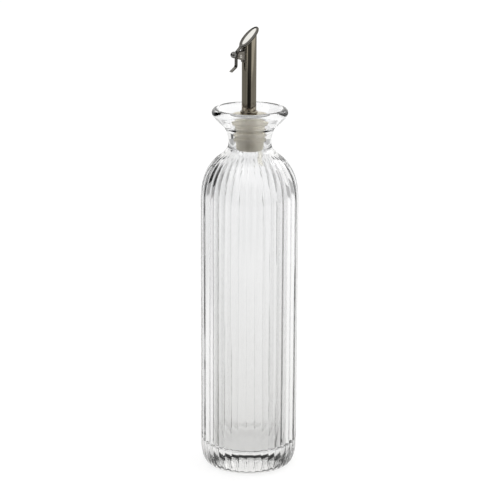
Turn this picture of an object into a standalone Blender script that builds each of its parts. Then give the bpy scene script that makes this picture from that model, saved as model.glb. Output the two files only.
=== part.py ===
"""Ribbed glass cruet with a ringed stopper, a slanted steel spout and a weighted swinging lid.

The origin is at the middle of the glass foot, +Z is up, and the lid's hinge is on the -X side of the spout.
"""

import math

import bmesh
import bpy
from mathutils import Matrix, Vector

MM = 0.001

# Glass bottle
GLASS_HEIGHT = 245.4 * MM
BODY_RADIUS = 32.5 * MM
NECK_RADIUS = 14.2 * MM
NECK_HEIGHT = 222.0 * MM
RIM_RADIUS = 25.1 * MM
RIM_BEAD_WIDTH = 2.6 * MM
RIM_BEAD_HEIGHT = 3.0 * MM
RIM_BEAD_END = -45.0
SHOULDER_START = 184.0 * MM
SHOULDER_JOIN = (22.05 * MM, 212.05 * MM)
HEEL_HEIGHT = 15.0 * MM
FOOT_RADIUS = 27.0 * MM

# Points that draw the curves of the outside, from the rim down
FLARE_PULL = (20.2 * MM, 233.0 * MM)
THROAT_PULL = (NECK_RADIUS, 235.2 * MM)
NECK_PULL = (NECK_RADIUS, 218.0 * MM)
SLOPE_PULL = (18.7 * MM, 214.9 * MM)
DOME_PULL = (29.2 * MM, 206.0 * MM)
SIDE_PULL = (BODY_RADIUS, 196.5 * MM)

# Ribs pressed into the outside of the glass
RIB_COUNT = 40
RIB_DEPTH = 0.68 * MM
RIB_FIRST_VALLEY = 3.4
RIB_TOP_FULL = 205.0 * MM
RIB_TOP_GONE = 219.0 * MM
RIB_FOOT_FULL = 7.0 * MM
COLUMNS_PER_RIB = 4

# Hollow of the bottle
WALL = 3.9 * MM
FLOOR_HEIGHT = 15.0 * MM
FLOOR_CORNER = 4.0 * MM
BORE_RADIUS = 11.0 * MM
BORE_TOP = 229.5 * MM
FUNNEL_WAIST = (15.5 * MM, 235.8 * MM)
FUNNEL_MOUTH_RADIUS = 21.9 * MM
FUNNEL_MOUTH_DROP = 0.4 * MM
BORE_BOTTOM = 218.6 * MM
UNDER_NECK = (18.9 * MM, 210.7 * MM)
HOLLOW_COLUMNS = 48

# Points that draw the curves of the hollow, from the mouth down
INNER_RADIUS = BODY_RADIUS - WALL
MOUTH_PULL = (20.2 * MM, 243.2 * MM)
WAIST_PULL = (18.6 * MM, 238.5 * MM)
UNDER_WAIST_PULL = (12.8 * MM, 233.4 * MM)
BORE_PULL = (BORE_RADIUS, 232.0 * MM)
BORE_END_PULL = (BORE_RADIUS, 215.6 * MM)
VAULT_TOP_PULL = (15.6 * MM, 213.3 * MM)
VAULT_PULL = (25.6 * MM, 205.2 * MM)
INNER_SIDE_PULL = (INNER_RADIUS, 195.5 * MM)

# Ringed stopper
STOPPER_BOTTOM = 217.0 * MM
STOPPER_TOP = 241.2 * MM
STOPPER_FLANGE_RADIUS = 11.9 * MM
STOPPER_FLANGE_THICKNESS = 3.2 * MM
STOPPER_CORE_RADIUS = 9.6 * MM
STOPPER_PLUG_RADIUS = 9.0 * MM
STOPPER_PLUG_CHAMFER = 0.7 * MM
STOPPER_EDGE = 0.4 * MM
RING_THICKNESS = 2.5 * MM
RING_PITCH = 4.2 * MM
RING_LOWEST = 224.4 * MM
RING_RADII = (10.6 * MM, 10.7 * MM, 10.9 * MM)
STOPPER_COLUMNS = 36
SOCKET_COLUMNS = 16

# Spout tube, a little off the bottle's axis
SPOUT_X = -0.8 * MM
SPOUT_RADIUS = 4.8 * MM
SPOUT_WALL = 0.7 * MM
SPOUT_MOUTH_HEIGHT = 291.8 * MM
SPOUT_SLANT = math.radians(45.0)
COLLAR_RADIUS = 5.7 * MM
COLLAR_HEIGHT = 2.2 * MM
COLLAR_CHAMFER_WIDTH = 0.2 * MM
COLLAR_CHAMFER_HEIGHT = 0.3 * MM
SPOUT_COLUMNS = 32
FIT_GAP = 0.3 * MM

# Air tube beside the spout's foot
AIR_TUBE_RADIUS = 1.5 * MM
AIR_TUBE_BORE = 0.9 * MM
AIR_TUBE_REACH = 6.8 * MM
AIR_TUBE_BEARING = math.radians(-30.0)
AIR_TUBE_BOTTOM = 206.0 * MM
AIR_TUBE_TOP = 226.0 * MM
AIR_TUBE_COLUMNS = 12

# Hinge: places along X are measured from the spout's axis, towards -X
PIN_REACH = 7.7 * MM
PIN_HEIGHT = 280.5 * MM
PIN_RADIUS = 0.75 * MM
PIN_HOLE_RADIUS = 0.85 * MM
PIN_HEAD_RADIUS = 1.1 * MM
PIN_HEAD_THICKNESS = 0.5 * MM
PIN_COLUMNS = 16
BRACKET_GAP = 0.15 * MM
BRACKET_SHEET = 0.5 * MM
BRACKET_HALF_WIDTH = 2.3 * MM
BRACKET_LOW = 276.2 * MM
BRACKET_HIGH = 285.6 * MM
EAR_SHEET = 0.55 * MM
EAR_LOW = 278.1 * MM
EAR_HIGH = 283.4 * MM
EAR_REACH = 9.9 * MM
EAR_CORNER = 2.6 * MM
EAR_ROOT_REACH = 4.75 * MM
EAR_ROOT_FLARE = 1.0 * MM
EAR_INSET = 0.02 * MM

# Swinging lid: an oval plate, an arm strip, two cheeks round the pin and a round weight
LID_GAP = 0.12 * MM
LID_SHEET = 0.8 * MM
LID_PLAN_RADIUS = 6.2 * MM
LID_RIM_WIDTH = 1.1 * MM
LID_DISH_DEPTH = 0.3 * MM
LID_COLUMNS = 48
ARM_SHEET = 0.7 * MM
ARM_HALF_WIDTH = 1.6 * MM
ARM_REACH = 9.75 * MM
ARM_ROOT_REACH = 5.75 * MM
WEB_SHEET = 0.6 * MM
WEB_ON_PLATE = (-7.0 * MM, 3.4 * MM)
WEB_MIDDLE = -8.3 * MM
WEB_ON_ARM = -11.2 * MM
WEB_PLATE_PULL = (8.3 * MM, 2.3 * MM)
WEB_ARM_PULL = 9.4 * MM
TAIL_BEND_HEIGHT = 273.5 * MM
TAIL_END = (-13.8 * MM, 270.4 * MM)
ARM_BEND_RADIUS = 1.3 * MM
CHEEK_SHEET = 0.55 * MM
CHEEK_MARGIN = 0.05 * MM
CHEEK_END_RADIUS = 1.8 * MM
CHEEK_HALF_HEIGHT = 2.1 * MM
CHEEK_END_TURN = 75.0
WEIGHT_RADIUS = 2.2 * MM
WEIGHT_REACH = 11.5 * MM
WEIGHT_HEIGHT = 281.4 * MM
WEIGHT_GAP = 0.15 * MM
WEIGHT_COLUMNS = 18
WEIGHT_ROWS = 9

# Cutting tools reach past what they cut, and edges over this angle stay sharp
CUTTER_MARGIN = 2.0 * MM
DRILL_LENGTH = 8.0 * MM
SHARP_ANGLE = math.radians(35.0)
WELD = 0.000001

for old in list(bpy.data.objects):
    bpy.data.objects.remove(old, do_unlink=True)

PARTS = bpy.data.collections.new("glass_cruet")
CUTTERS = bpy.data.collections.new("cutters")
bpy.context.scene.collection.children.link(PARTS)
bpy.context.scene.collection.children.link(CUTTERS)


def material(name, colour, roughness, metallic=0.0, transmission=0.0):
    """A plain finish with the part's own colour."""
    made = bpy.data.materials.new(name)
    made.use_nodes = True
    shader = made.node_tree.nodes["Principled BSDF"]
    shader.inputs["Base Color"].default_value = (*colour, 1.0)
    shader.inputs["Roughness"].default_value = roughness
    shader.inputs["Metallic"].default_value = metallic
    shader.inputs["Transmission Weight"].default_value = transmission
    return made


def add(name, mesh, finish=None, location=(0.0, 0.0, 0.0)):
    """An object in the parts' collection, or among the cutters when it has no finish."""
    made = bpy.data.objects.new(name, mesh)
    made.location = location
    if finish is None:
        CUTTERS.objects.link(made)
        made.hide_render = True
        made.display_type = "WIRE"
    else:
        PARTS.objects.link(made)
        mesh.materials.append(finish)
    return made


def smooth(item):
    """Smooth shading that keeps the clear edges sharp."""
    item.data.shade_smooth()
    item.data.set_sharp_from_angle(angle=SHARP_ANGLE)


def cut(item, tool, operation="DIFFERENCE"):
    """A Boolean of the item with the tool."""
    step = item.modifiers.new(tool.name, "BOOLEAN")
    step.operation = operation
    step.solver = "EXACT"
    step.object = tool


def arc(centre, radius, start, end, steps, height=None):
    """Points of an arc or of an elliptic arc, from one angle to another in degrees."""
    rise = radius if height is None else height
    points = []
    for step in range(steps + 1):
        angle = math.radians(start + (end - start) * step / steps)
        points.append((centre[0] + radius * math.cos(angle), centre[1] + rise * math.sin(angle)))
    return points


def bezier(start, first_pull, last_pull, end, steps):
    """Points of a cubic curve, without its first point."""
    points = []
    for step in range(1, steps + 1):
        t = step / steps
        weights = ((1 - t) ** 3, 3 * (1 - t) ** 2 * t, 3 * (1 - t) * t**2, t**3)
        corners = (start, first_pull, last_pull, end)
        points.append(tuple(sum(w * c[i] for w, c in zip(weights, corners)) for i in range(2)))
    return points


def smoothstep(low, high, value):
    """0 below low, 1 above high, and an even blend between them."""
    t = min(max((value - low) / (high - low), 0.0), 1.0)
    return t * t * (3 - 2 * t)


def turned(name, profile, columns, closed=False):
    """A profile of (radius, height) points, listed down the outer side, turned about Z."""
    count = len(profile)
    edges = [(i, i + 1) for i in range(count - 1)]
    if closed:
        edges.append((count - 1, 0))
    mesh = bpy.data.meshes.new(name)
    mesh.from_pydata([(radius, 0.0, height) for radius, height in profile], edges, [])
    made = add(name, mesh)
    screw = made.modifiers.new("turn", "SCREW")
    screw.steps = columns
    screw.render_steps = columns
    screw.use_merge_vertices = True
    screw.merge_threshold = WELD
    return made


def settled(item):
    """The item's shape with its modifiers applied, as a mesh of its own; the item is removed."""
    bpy.context.view_layer.update()
    shape = item.evaluated_get(bpy.context.evaluated_depsgraph_get())
    mesh = bpy.data.meshes.new_from_object(shape)
    work = bmesh.new()
    work.from_mesh(mesh)
    bmesh.ops.remove_doubles(work, verts=work.verts, dist=WELD)
    work.to_mesh(mesh)
    work.free()
    bpy.data.objects.remove(item, do_unlink=True)
    return mesh


def outline_plate(name, outline, half_thickness):
    """A closed outline in the XZ plane, made a plate that reaches the half thickness to each side in Y."""
    curve = bpy.data.curves.new(name, "CURVE")
    curve.dimensions = "2D"
    curve.fill_mode = "BOTH"
    curve.extrude = half_thickness
    spline = curve.splines.new("POLY")
    spline.points.add(len(outline) - 1)
    for point, (x, z) in zip(spline.points, outline):
        point.co = (x, z, 0.0, 1.0)
    spline.use_cyclic_u = True
    mesh = settled(add(name, curve))
    mesh.transform(Matrix.Rotation(math.radians(90.0), 4, "X"))
    return mesh


def cylinder(name, radius, depth, columns, centre, along_y=False):
    """A round bar, upright or along Y."""
    mesh = bpy.data.meshes.new(name)
    work = bmesh.new()
    turn = Matrix.Rotation(math.radians(90.0), 4, "X") if along_y else Matrix.Identity(4)
    bmesh.ops.create_cone(
        work,
        cap_ends=True,
        segments=columns,
        radius1=radius,
        radius2=radius,
        depth=depth,
        matrix=Matrix.Translation(centre) @ turn,
    )
    work.to_mesh(mesh)
    work.free()
    return mesh


def block(name, low, high):
    """A box between two corners."""
    mesh = bpy.data.meshes.new(name)
    work = bmesh.new()
    low = Vector(low)
    high = Vector(high)
    place = Matrix.Translation((low + high) / 2) @ Matrix.Diagonal((*(high - low), 1.0))
    bmesh.ops.create_cube(work, size=1.0, matrix=place)
    work.to_mesh(mesh)
    work.free()
    return mesh


def bottle_outline():
    """The outside of the glass, from the middle of its top down to the middle of its foot."""
    bead_centre = (RIM_RADIUS - RIM_BEAD_WIDTH, GLASS_HEIGHT - RIM_BEAD_HEIGHT)
    points = [(0.0, GLASS_HEIGHT)]
    points += arc(bead_centre, RIM_BEAD_WIDTH, 90.0, RIM_BEAD_END, 4, RIM_BEAD_HEIGHT)
    points += bezier(points[-1], FLARE_PULL, THROAT_PULL, (NECK_RADIUS, NECK_HEIGHT), 5)
    points += bezier(points[-1], NECK_PULL, SLOPE_PULL, SHOULDER_JOIN, 3)
    points += bezier(SHOULDER_JOIN, DOME_PULL, SIDE_PULL, (BODY_RADIUS, SHOULDER_START), 5)
    heel_centre = (FOOT_RADIUS, HEEL_HEIGHT)
    points += arc(heel_centre, BODY_RADIUS - FOOT_RADIUS, 0.0, -90.0, 4, HEEL_HEIGHT)
    points.append((0.0, 0.0))
    return points


def hollow_outline():
    """The inside of the glass, from above its mouth down to the middle of its floor."""
    above = GLASS_HEIGHT + CUTTER_MARGIN
    mouth = (FUNNEL_MOUTH_RADIUS, GLASS_HEIGHT - FUNNEL_MOUTH_DROP)
    points = [(0.0, above), (FUNNEL_MOUTH_RADIUS, above), mouth]
    points += bezier(mouth, MOUTH_PULL, WAIST_PULL, FUNNEL_WAIST, 4)
    points += bezier(FUNNEL_WAIST, UNDER_WAIST_PULL, BORE_PULL, (BORE_RADIUS, BORE_TOP), 3)
    points.append((BORE_RADIUS, BORE_BOTTOM))
    points += bezier(points[-1], BORE_END_PULL, VAULT_TOP_PULL, UNDER_NECK, 2)
    points += bezier(UNDER_NECK, VAULT_PULL, INNER_SIDE_PULL, (INNER_RADIUS, SHOULDER_START), 4)
    corner_centre = (INNER_RADIUS - FLOOR_CORNER, FLOOR_HEIGHT + FLOOR_CORNER)
    points += arc(corner_centre, FLOOR_CORNER, 0.0, -90.0, 3)
    points.append((0.0, FLOOR_HEIGHT))
    return points


def press_ribs(mesh):
    """Moves the outside of the glass inwards between the ribs, fading out at the shoulder and the foot."""
    pitch = 2 * math.pi / RIB_COUNT
    for vertex in mesh.vertices:
        radius = math.hypot(vertex.co.x, vertex.co.y)
        if radius < FOOT_RADIUS / 3:
            continue
        across = math.atan2(vertex.co.y, vertex.co.x) / pitch
        from_crest = 2 * abs(across - math.floor(across) - 0.5)
        hollow = from_crest**2
        fade = 1 - smoothstep(RIB_TOP_FULL, RIB_TOP_GONE, vertex.co.z)
        fade *= smoothstep(-RIB_FOOT_FULL / 2, RIB_FOOT_FULL, vertex.co.z)
        wanted = radius - RIB_DEPTH * hollow * fade
        vertex.co.x *= wanted / radius
        vertex.co.y *= wanted / radius


def make_bottle(finish):
    """The ribbed glass bottle with its hollow, funnel mouth and thick floor."""
    mesh = settled(turned("bottle_blank", bottle_outline(), RIB_COUNT * COLUMNS_PER_RIB))
    press_ribs(mesh)
    mesh.transform(Matrix.Rotation(math.radians(RIB_FIRST_VALLEY), 4, "Z"))
    bottle = add("bottle", mesh, finish)
    cut(bottle, turned("bottle_hollow", hollow_outline(), HOLLOW_COLUMNS))
    smooth(bottle)


def stopper_outline():
    """The stopper's outside, from the middle of its top down to the middle of its underside."""
    flange_low = STOPPER_TOP - STOPPER_FLANGE_THICKNESS
    points = [
        (0.0, STOPPER_TOP),
        (STOPPER_FLANGE_RADIUS - STOPPER_EDGE, STOPPER_TOP),
        (STOPPER_FLANGE_RADIUS, STOPPER_TOP - STOPPER_EDGE),
        (STOPPER_FLANGE_RADIUS, flange_low + STOPPER_EDGE),
        (STOPPER_FLANGE_RADIUS - STOPPER_EDGE, flange_low),
        (STOPPER_CORE_RADIUS, flange_low),
    ]
    for number in reversed(range(len(RING_RADII))):
        radius = RING_RADII[number]
        low = RING_LOWEST + RING_PITCH * number
        points.append((STOPPER_CORE_RADIUS, low + RING_THICKNESS))
        points.append((radius, low + RING_THICKNESS - STOPPER_EDGE))
        points.append((radius, low + STOPPER_EDGE))
        if number:
            points.append((STOPPER_CORE_RADIUS, low))
    points.append((STOPPER_PLUG_RADIUS, RING_LOWEST - STOPPER_EDGE))
    points.append((STOPPER_PLUG_RADIUS, STOPPER_BOTTOM + STOPPER_PLUG_CHAMFER))
    points.append((STOPPER_PLUG_RADIUS - STOPPER_PLUG_CHAMFER, STOPPER_BOTTOM))
    points.append((0.0, STOPPER_BOTTOM))
    return points


def air_tube_place():
    """Where the air tube stands in plan."""
    return AIR_TUBE_REACH * math.cos(AIR_TUBE_BEARING), AIR_TUBE_REACH * math.sin(AIR_TUBE_BEARING)


def make_stopper(finish):
    """The ringed plastic stopper, bored for the spout and socketed for the air tube."""
    stopper = add("stopper", settled(turned("stopper_blank", stopper_outline(), STOPPER_COLUMNS)), finish)
    middle = (STOPPER_TOP + STOPPER_BOTTOM) / 2
    length = 2 * (STOPPER_TOP - STOPPER_BOTTOM)
    bore = cylinder("spout_bore", SPOUT_RADIUS + FIT_GAP, length, SPOUT_COLUMNS, (SPOUT_X, 0.0, middle))
    cut(stopper, add("spout_bore", bore))
    air_x, air_y = air_tube_place()
    top = AIR_TUBE_TOP + FIT_GAP
    depth = 2 * (top - STOPPER_BOTTOM)
    centre = (air_x, air_y, top - depth / 2)
    socket = cylinder("air_socket", AIR_TUBE_RADIUS + FIT_GAP, depth, SOCKET_COLUMNS, centre)
    cut(stopper, add("air_socket", socket))
    smooth(stopper)


def make_air_tube(finish):
    """The thin tube that lets air in beside the spout."""
    profile = [
        (AIR_TUBE_RADIUS, AIR_TUBE_TOP),
        (AIR_TUBE_RADIUS, AIR_TUBE_BOTTOM),
        (AIR_TUBE_BORE, AIR_TUBE_BOTTOM),
        (AIR_TUBE_BORE, AIR_TUBE_TOP),
    ]
    mesh = settled(turned("air_tube_blank", profile, AIR_TUBE_COLUMNS, closed=True))
    tube = add("air_tube", mesh, finish, (*air_tube_place(), 0.0))
    smooth(tube)


def make_spout(finish):
    """The steel tube with its collar at the foot and its slanted mouth."""
    collar_low = STOPPER_TOP + FIT_GAP
    collar_high = collar_low + COLLAR_HEIGHT
    blank_top = SPOUT_MOUTH_HEIGHT + 2 * SPOUT_RADIUS
    bore = SPOUT_RADIUS - SPOUT_WALL
    profile = [
        (SPOUT_RADIUS, blank_top),
        (SPOUT_RADIUS, collar_high),
        (COLLAR_RADIUS - COLLAR_CHAMFER_WIDTH, collar_high),
        (COLLAR_RADIUS, collar_high - COLLAR_CHAMFER_HEIGHT),
        (COLLAR_RADIUS, collar_low),
        (SPOUT_RADIUS, collar_low),
        (SPOUT_RADIUS, STOPPER_BOTTOM),
        (bore, STOPPER_BOTTOM),
        (bore, blank_top),
    ]
    spout = add("spout_tube", settled(turned("spout_blank", profile, SPOUT_COLUMNS, closed=True)), finish)
    spout.location.x = SPOUT_X
    size = 6 * SPOUT_RADIUS
    slant = block("mouth_cut", (-size, -size, 0.0), (size, size, size))
    slant.transform(Matrix.Rotation(-SPOUT_SLANT, 4, "Y"))
    cut(spout, add("mouth_cut", slant, location=(SPOUT_X, 0.0, SPOUT_MOUTH_HEIGHT)))
    smooth(spout)


def make_bracket(finish):
    """The sheet saddle on the spout with its two ears for the pin."""
    inner = SPOUT_RADIUS + BRACKET_GAP
    outer = inner + BRACKET_SHEET
    profile = [(outer, BRACKET_HIGH), (outer, BRACKET_LOW), (inner, BRACKET_LOW), (inner, BRACKET_HIGH)]
    ring = settled(turned("saddle_ring", profile, SPOUT_COLUMNS, closed=True))
    bracket = add("hinge_bracket", ring, finish, (SPOUT_X, 0.0, 0.0))
    side = block(
        "saddle_side",
        (-2 * outer, -BRACKET_HALF_WIDTH, BRACKET_LOW - CUTTER_MARGIN),
        (-outer / 2, BRACKET_HALF_WIDTH, BRACKET_HIGH + CUTTER_MARGIN),
    )
    cut(bracket, add("saddle_side", side, location=(SPOUT_X, 0.0, 0.0)), "INTERSECT")
    corner_x = EAR_CORNER - EAR_REACH
    outline = [(-EAR_ROOT_REACH, EAR_HIGH + EAR_ROOT_FLARE), (-EAR_ROOT_REACH - EAR_ROOT_FLARE, EAR_HIGH)]
    outline += arc((corner_x, EAR_HIGH - EAR_CORNER), EAR_CORNER, 90.0, 180.0, 4)
    outline += arc((corner_x, EAR_LOW + EAR_CORNER), EAR_CORNER, 180.0, 270.0, 4)
    outline += [(-EAR_ROOT_REACH - EAR_ROOT_FLARE, EAR_LOW), (-EAR_ROOT_REACH, EAR_LOW - EAR_ROOT_FLARE)]
    for name, sign in (("near_ear", -1), ("far_ear", 1)):
        ear = outline_plate(name, outline, EAR_SHEET / 2)
        reach = BRACKET_HALF_WIDTH - EAR_INSET - EAR_SHEET / 2
        ear.transform(Matrix.Translation((0.0, sign * reach, 0.0)))
        cut(bracket, add(name, ear, location=(SPOUT_X, 0.0, 0.0)), "UNION")
    hole = cylinder("ear_holes", PIN_HOLE_RADIUS, DRILL_LENGTH, PIN_COLUMNS, (0.0, 0.0, 0.0), along_y=True)
    cut(bracket, add("ear_holes", hole, location=(SPOUT_X - PIN_REACH, 0.0, PIN_HEIGHT)))
    smooth(bracket)


def make_pin(finish):
    """The rivet through the ears and the cheeks, with a flat head at each end."""
    shank_end = BRACKET_HALF_WIDTH + BRACKET_GAP
    head_end = shank_end + PIN_HEAD_THICKNESS
    profile = [
        (0.0, head_end),
        (PIN_HEAD_RADIUS, head_end),
        (PIN_HEAD_RADIUS, shank_end),
        (PIN_RADIUS, shank_end),
        (PIN_RADIUS, -shank_end),
        (PIN_HEAD_RADIUS, -shank_end),
        (PIN_HEAD_RADIUS, -head_end),
        (0.0, -head_end),
    ]
    mesh = settled(turned("pin_blank", profile, PIN_COLUMNS))
    pin = add("hinge_pin", mesh, finish, (SPOUT_X - PIN_REACH, 0.0, PIN_HEIGHT))
    pin.rotation_euler.x = math.radians(90.0)
    smooth(pin)


def plate_middle_height():
    """The height of the lid plate's middle plane at the spout's axis."""
    return SPOUT_MOUTH_HEIGHT + (LID_GAP + LID_SHEET / 2) / math.cos(SPOUT_SLANT)


def arm_path():
    """The arm strip's middle line in the XZ plane, its bends rounded, from the plate to the tail's end."""
    slope = math.tan(SPOUT_SLANT)
    corners = [
        Vector((-ARM_ROOT_REACH, plate_middle_height() - ARM_ROOT_REACH * slope)),
        Vector((-ARM_REACH, plate_middle_height() - ARM_REACH * slope)),
        Vector((-ARM_REACH, TAIL_BEND_HEIGHT)),
        Vector(TAIL_END),
    ]
    path = [tuple(corners[0])]
    for before, corner, after in zip(corners, corners[1:], corners[2:]):
        start = corner + (before - corner).normalized() * ARM_BEND_RADIUS
        end = corner + (after - corner).normalized() * ARM_BEND_RADIUS
        path.append(tuple(start))
        path += bezier(start, (start + 2 * corner) / 3, (end + 2 * corner) / 3, end, 4)
    path.append(tuple(corners[-1]))
    return path


def strip_outline(path, half):
    """A closed outline at the half thickness to each side of a path."""
    points = [Vector(point) for point in path]
    left = []
    right = []
    for number, point in enumerate(points):
        back = points[max(number - 1, 0)]
        ahead = points[min(number + 1, len(points) - 1)]
        along = (ahead - back).normalized()
        across = Vector((-along.y, along.x)) * half
        left.append(tuple(point + across))
        right.append(tuple(point - across))
    return left + right[::-1]


def lid_plate():
    """The oval plate with a raised rim round a shallow dish, lying on the slanted mouth."""
    mesh = bpy.data.meshes.new("lid_plate")
    work = bmesh.new()
    long_way = 1 / math.cos(SPOUT_SLANT)
    bmesh.ops.create_circle(work, cap_ends=True, segments=LID_COLUMNS, radius=LID_PLAN_RADIUS)
    bmesh.ops.scale(work, vec=(long_way, 1.0, 1.0), verts=work.verts)
    lifted = bmesh.ops.extrude_face_region(work, geom=list(work.faces))["geom"]
    corners = [item for item in lifted if isinstance(item, bmesh.types.BMVert)]
    bmesh.ops.translate(work, vec=(0.0, 0.0, LID_SHEET), verts=corners)
    top = next(item for item in lifted if isinstance(item, bmesh.types.BMFace))
    bmesh.ops.inset_region(work, faces=[top], thickness=LID_RIM_WIDTH, depth=0.0)
    bmesh.ops.inset_region(work, faces=[top], thickness=LID_DISH_DEPTH, depth=-LID_DISH_DEPTH)
    bmesh.ops.recalc_face_normals(work, faces=work.faces)
    lift = SPOUT_MOUTH_HEIGHT + LID_GAP / math.cos(SPOUT_SLANT)
    bmesh.ops.transform(
        work,
        matrix=Matrix.Translation((0.0, 0.0, lift)) @ Matrix.Rotation(-SPOUT_SLANT, 4, "Y"),
        verts=work.verts,
    )
    work.to_mesh(mesh)
    work.free()
    return mesh


def lid_web():
    """The flat sheet that widens the arm into the plate's rim, in the plate's middle plane."""
    start = (-WEB_ON_PLATE[0], WEB_ON_PLATE[1])
    arm_half = ARM_HALF_WIDTH - CHEEK_MARGIN
    side = bezier(start, WEB_PLATE_PULL, (WEB_ARM_PULL, arm_half), (-WEB_ON_ARM, arm_half), 4)
    half_outline = [start] + side
    outline = [(-along, across) for along, across in half_outline]
    outline += [(-along, -across) for along, across in reversed(half_outline)]
    outline.append((WEB_MIDDLE, 0.0))
    mesh = outline_plate("lid_web", outline, WEB_SHEET / 2)
    mesh.transform(Matrix.Rotation(math.radians(90.0), 4, "X"))
    mesh.transform(Matrix.Rotation(-SPOUT_SLANT, 4, "Y"))
    mesh.transform(Matrix.Translation((0.0, 0.0, plate_middle_height())))
    return mesh


def lid_cheek(name, sign):
    """A side of the arm folded in towards the pin, round at its end, with its origin on the pin."""
    arm_side = PIN_REACH - ARM_REACH
    outline = [(arm_side, CHEEK_HALF_HEIGHT)]
    outline += arc((0.0, 0.0), CHEEK_END_RADIUS, CHEEK_END_TURN, -CHEEK_END_TURN, 8)
    outline.append((arm_side, -CHEEK_HALF_HEIGHT))
    mesh = outline_plate(name, outline, CHEEK_SHEET / 2)
    reach = ARM_HALF_WIDTH - CHEEK_MARGIN - CHEEK_SHEET / 2
    mesh.transform(Matrix.Translation((0.0, sign * reach, 0.0)))
    return mesh


def make_lid(finish, hinge):
    """The stamped lid: plate, arm and cheeks in one piece, with its origin on the pin."""
    to_pin = Matrix.Translation((PIN_REACH, 0.0, -PIN_HEIGHT))
    plate = lid_plate()
    plate.transform(to_pin)
    lid = add("lid_flap", plate, finish)
    lid.parent = hinge
    arm = outline_plate("lid_arm", strip_outline(arm_path(), ARM_SHEET / 2), ARM_HALF_WIDTH)
    arm.transform(to_pin)
    web = lid_web()
    web.transform(to_pin)
    joined = [arm, web, lid_cheek("near_cheek", -1), lid_cheek("far_cheek", 1)]
    for mesh in joined:
        tool = add(mesh.name, mesh)
        tool.parent = hinge
        cut(lid, tool, "UNION")
    hole = cylinder("cheek_holes", PIN_HOLE_RADIUS, DRILL_LENGTH, PIN_COLUMNS, (0.0, 0.0, 0.0), along_y=True)
    hole_tool = add("cheek_holes", hole)
    hole_tool.parent = hinge
    cut(lid, hole_tool)
    smooth(lid)


def make_weight(finish, hinge):
    """The round weight on the arm's outer side, flat where it meets the strip."""
    mesh = bpy.data.meshes.new("counterweight")
    work = bmesh.new()
    bmesh.ops.create_uvsphere(work, u_segments=WEIGHT_COLUMNS, v_segments=WEIGHT_ROWS, radius=WEIGHT_RADIUS)
    flat = WEIGHT_REACH - ARM_REACH - ARM_SHEET / 2 - WEIGHT_GAP
    cut_away = bmesh.ops.bisect_plane(
        work,
        geom=work.verts[:] + work.edges[:] + work.faces[:],
        plane_co=(flat, 0.0, 0.0),
        plane_no=(1.0, 0.0, 0.0),
        clear_outer=True,
    )["geom_cut"]
    rim = [item for item in cut_away if isinstance(item, bmesh.types.BMEdge)]
    bmesh.ops.edgeloop_fill(work, edges=rim)
    bmesh.ops.recalc_face_normals(work, faces=work.faces)
    work.to_mesh(mesh)
    work.free()
    mesh.transform(Matrix.Translation((PIN_REACH - WEIGHT_REACH, 0.0, WEIGHT_HEIGHT - PIN_HEIGHT)))
    weight = add("counterweight", mesh, finish)
    weight.parent = hinge
    smooth(weight)


clear_glass = material("clear_glass", (0.94, 0.96, 0.96), 0.03, transmission=1.0)
milky_plastic = material("milky_plastic", (0.80, 0.79, 0.72), 0.45)
pale_tube = material("pale_tube", (0.86, 0.85, 0.79), 0.35)
spout_steel = material("spout_steel", (0.48, 0.46, 0.40), 0.28, metallic=1.0)
bracket_steel = material("bracket_steel", (0.30, 0.29, 0.27), 0.35, metallic=1.0)
pin_steel = material("pin_steel", (0.42, 0.41, 0.38), 0.30, metallic=1.0)
lid_steel = material("lid_steel", (0.38, 0.37, 0.35), 0.30, metallic=1.0)
weight_steel = material("weight_steel", (0.36, 0.35, 0.34), 0.28, metallic=1.0)

lid_hinge = bpy.data.objects.new("lid_hinge_axis", None)
lid_hinge.location = (SPOUT_X - PIN_REACH, 0.0, PIN_HEIGHT)
PARTS.objects.link(lid_hinge)

make_bottle(clear_glass)
make_stopper(milky_plastic)
make_air_tube(pale_tube)
make_spout(spout_steel)
make_bracket(bracket_steel)
make_pin(pin_steel)
make_lid(lid_steel, lid_hinge)
make_weight(weight_steel, lid_hinge)
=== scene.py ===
"""A ribbed glass cruet with a milky ringed stopper, a slanted steel spout and a weighted swinging lid.

Sizes of the pieces are in millimetres, and every mesh is brought to metres when its piece is finished.
Sizes in the finishes and the studio are in metres.
"""

import logging
import math
from dataclasses import dataclass
from enum import Enum

import bmesh
import bpy
from mathutils import Matrix, Vector


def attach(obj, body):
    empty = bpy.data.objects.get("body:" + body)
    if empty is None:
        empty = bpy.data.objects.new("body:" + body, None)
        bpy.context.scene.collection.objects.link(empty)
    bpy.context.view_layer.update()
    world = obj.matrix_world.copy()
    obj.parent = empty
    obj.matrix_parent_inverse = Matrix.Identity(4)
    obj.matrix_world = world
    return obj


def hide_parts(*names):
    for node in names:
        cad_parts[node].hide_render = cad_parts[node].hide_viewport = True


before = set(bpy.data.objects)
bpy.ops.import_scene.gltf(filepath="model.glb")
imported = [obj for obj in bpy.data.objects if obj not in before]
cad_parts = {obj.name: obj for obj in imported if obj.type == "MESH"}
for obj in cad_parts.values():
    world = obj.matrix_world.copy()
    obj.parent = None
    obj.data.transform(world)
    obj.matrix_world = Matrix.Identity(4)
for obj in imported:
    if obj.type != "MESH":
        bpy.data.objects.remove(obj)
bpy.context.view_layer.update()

MM = 0.001
MERGE = 0.0001
ORIGIN = (0.0, 0.0, 0.0)
UP = (0.0, 0.0, 1.0)
BLACK = (0.0, 0.0, 0.0)
RIGHT_ANGLE = math.radians(90.0)
SMOOTH_BELOW = math.radians(38.0)
FULL_WEAR_TURN = math.radians(45.0)

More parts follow.
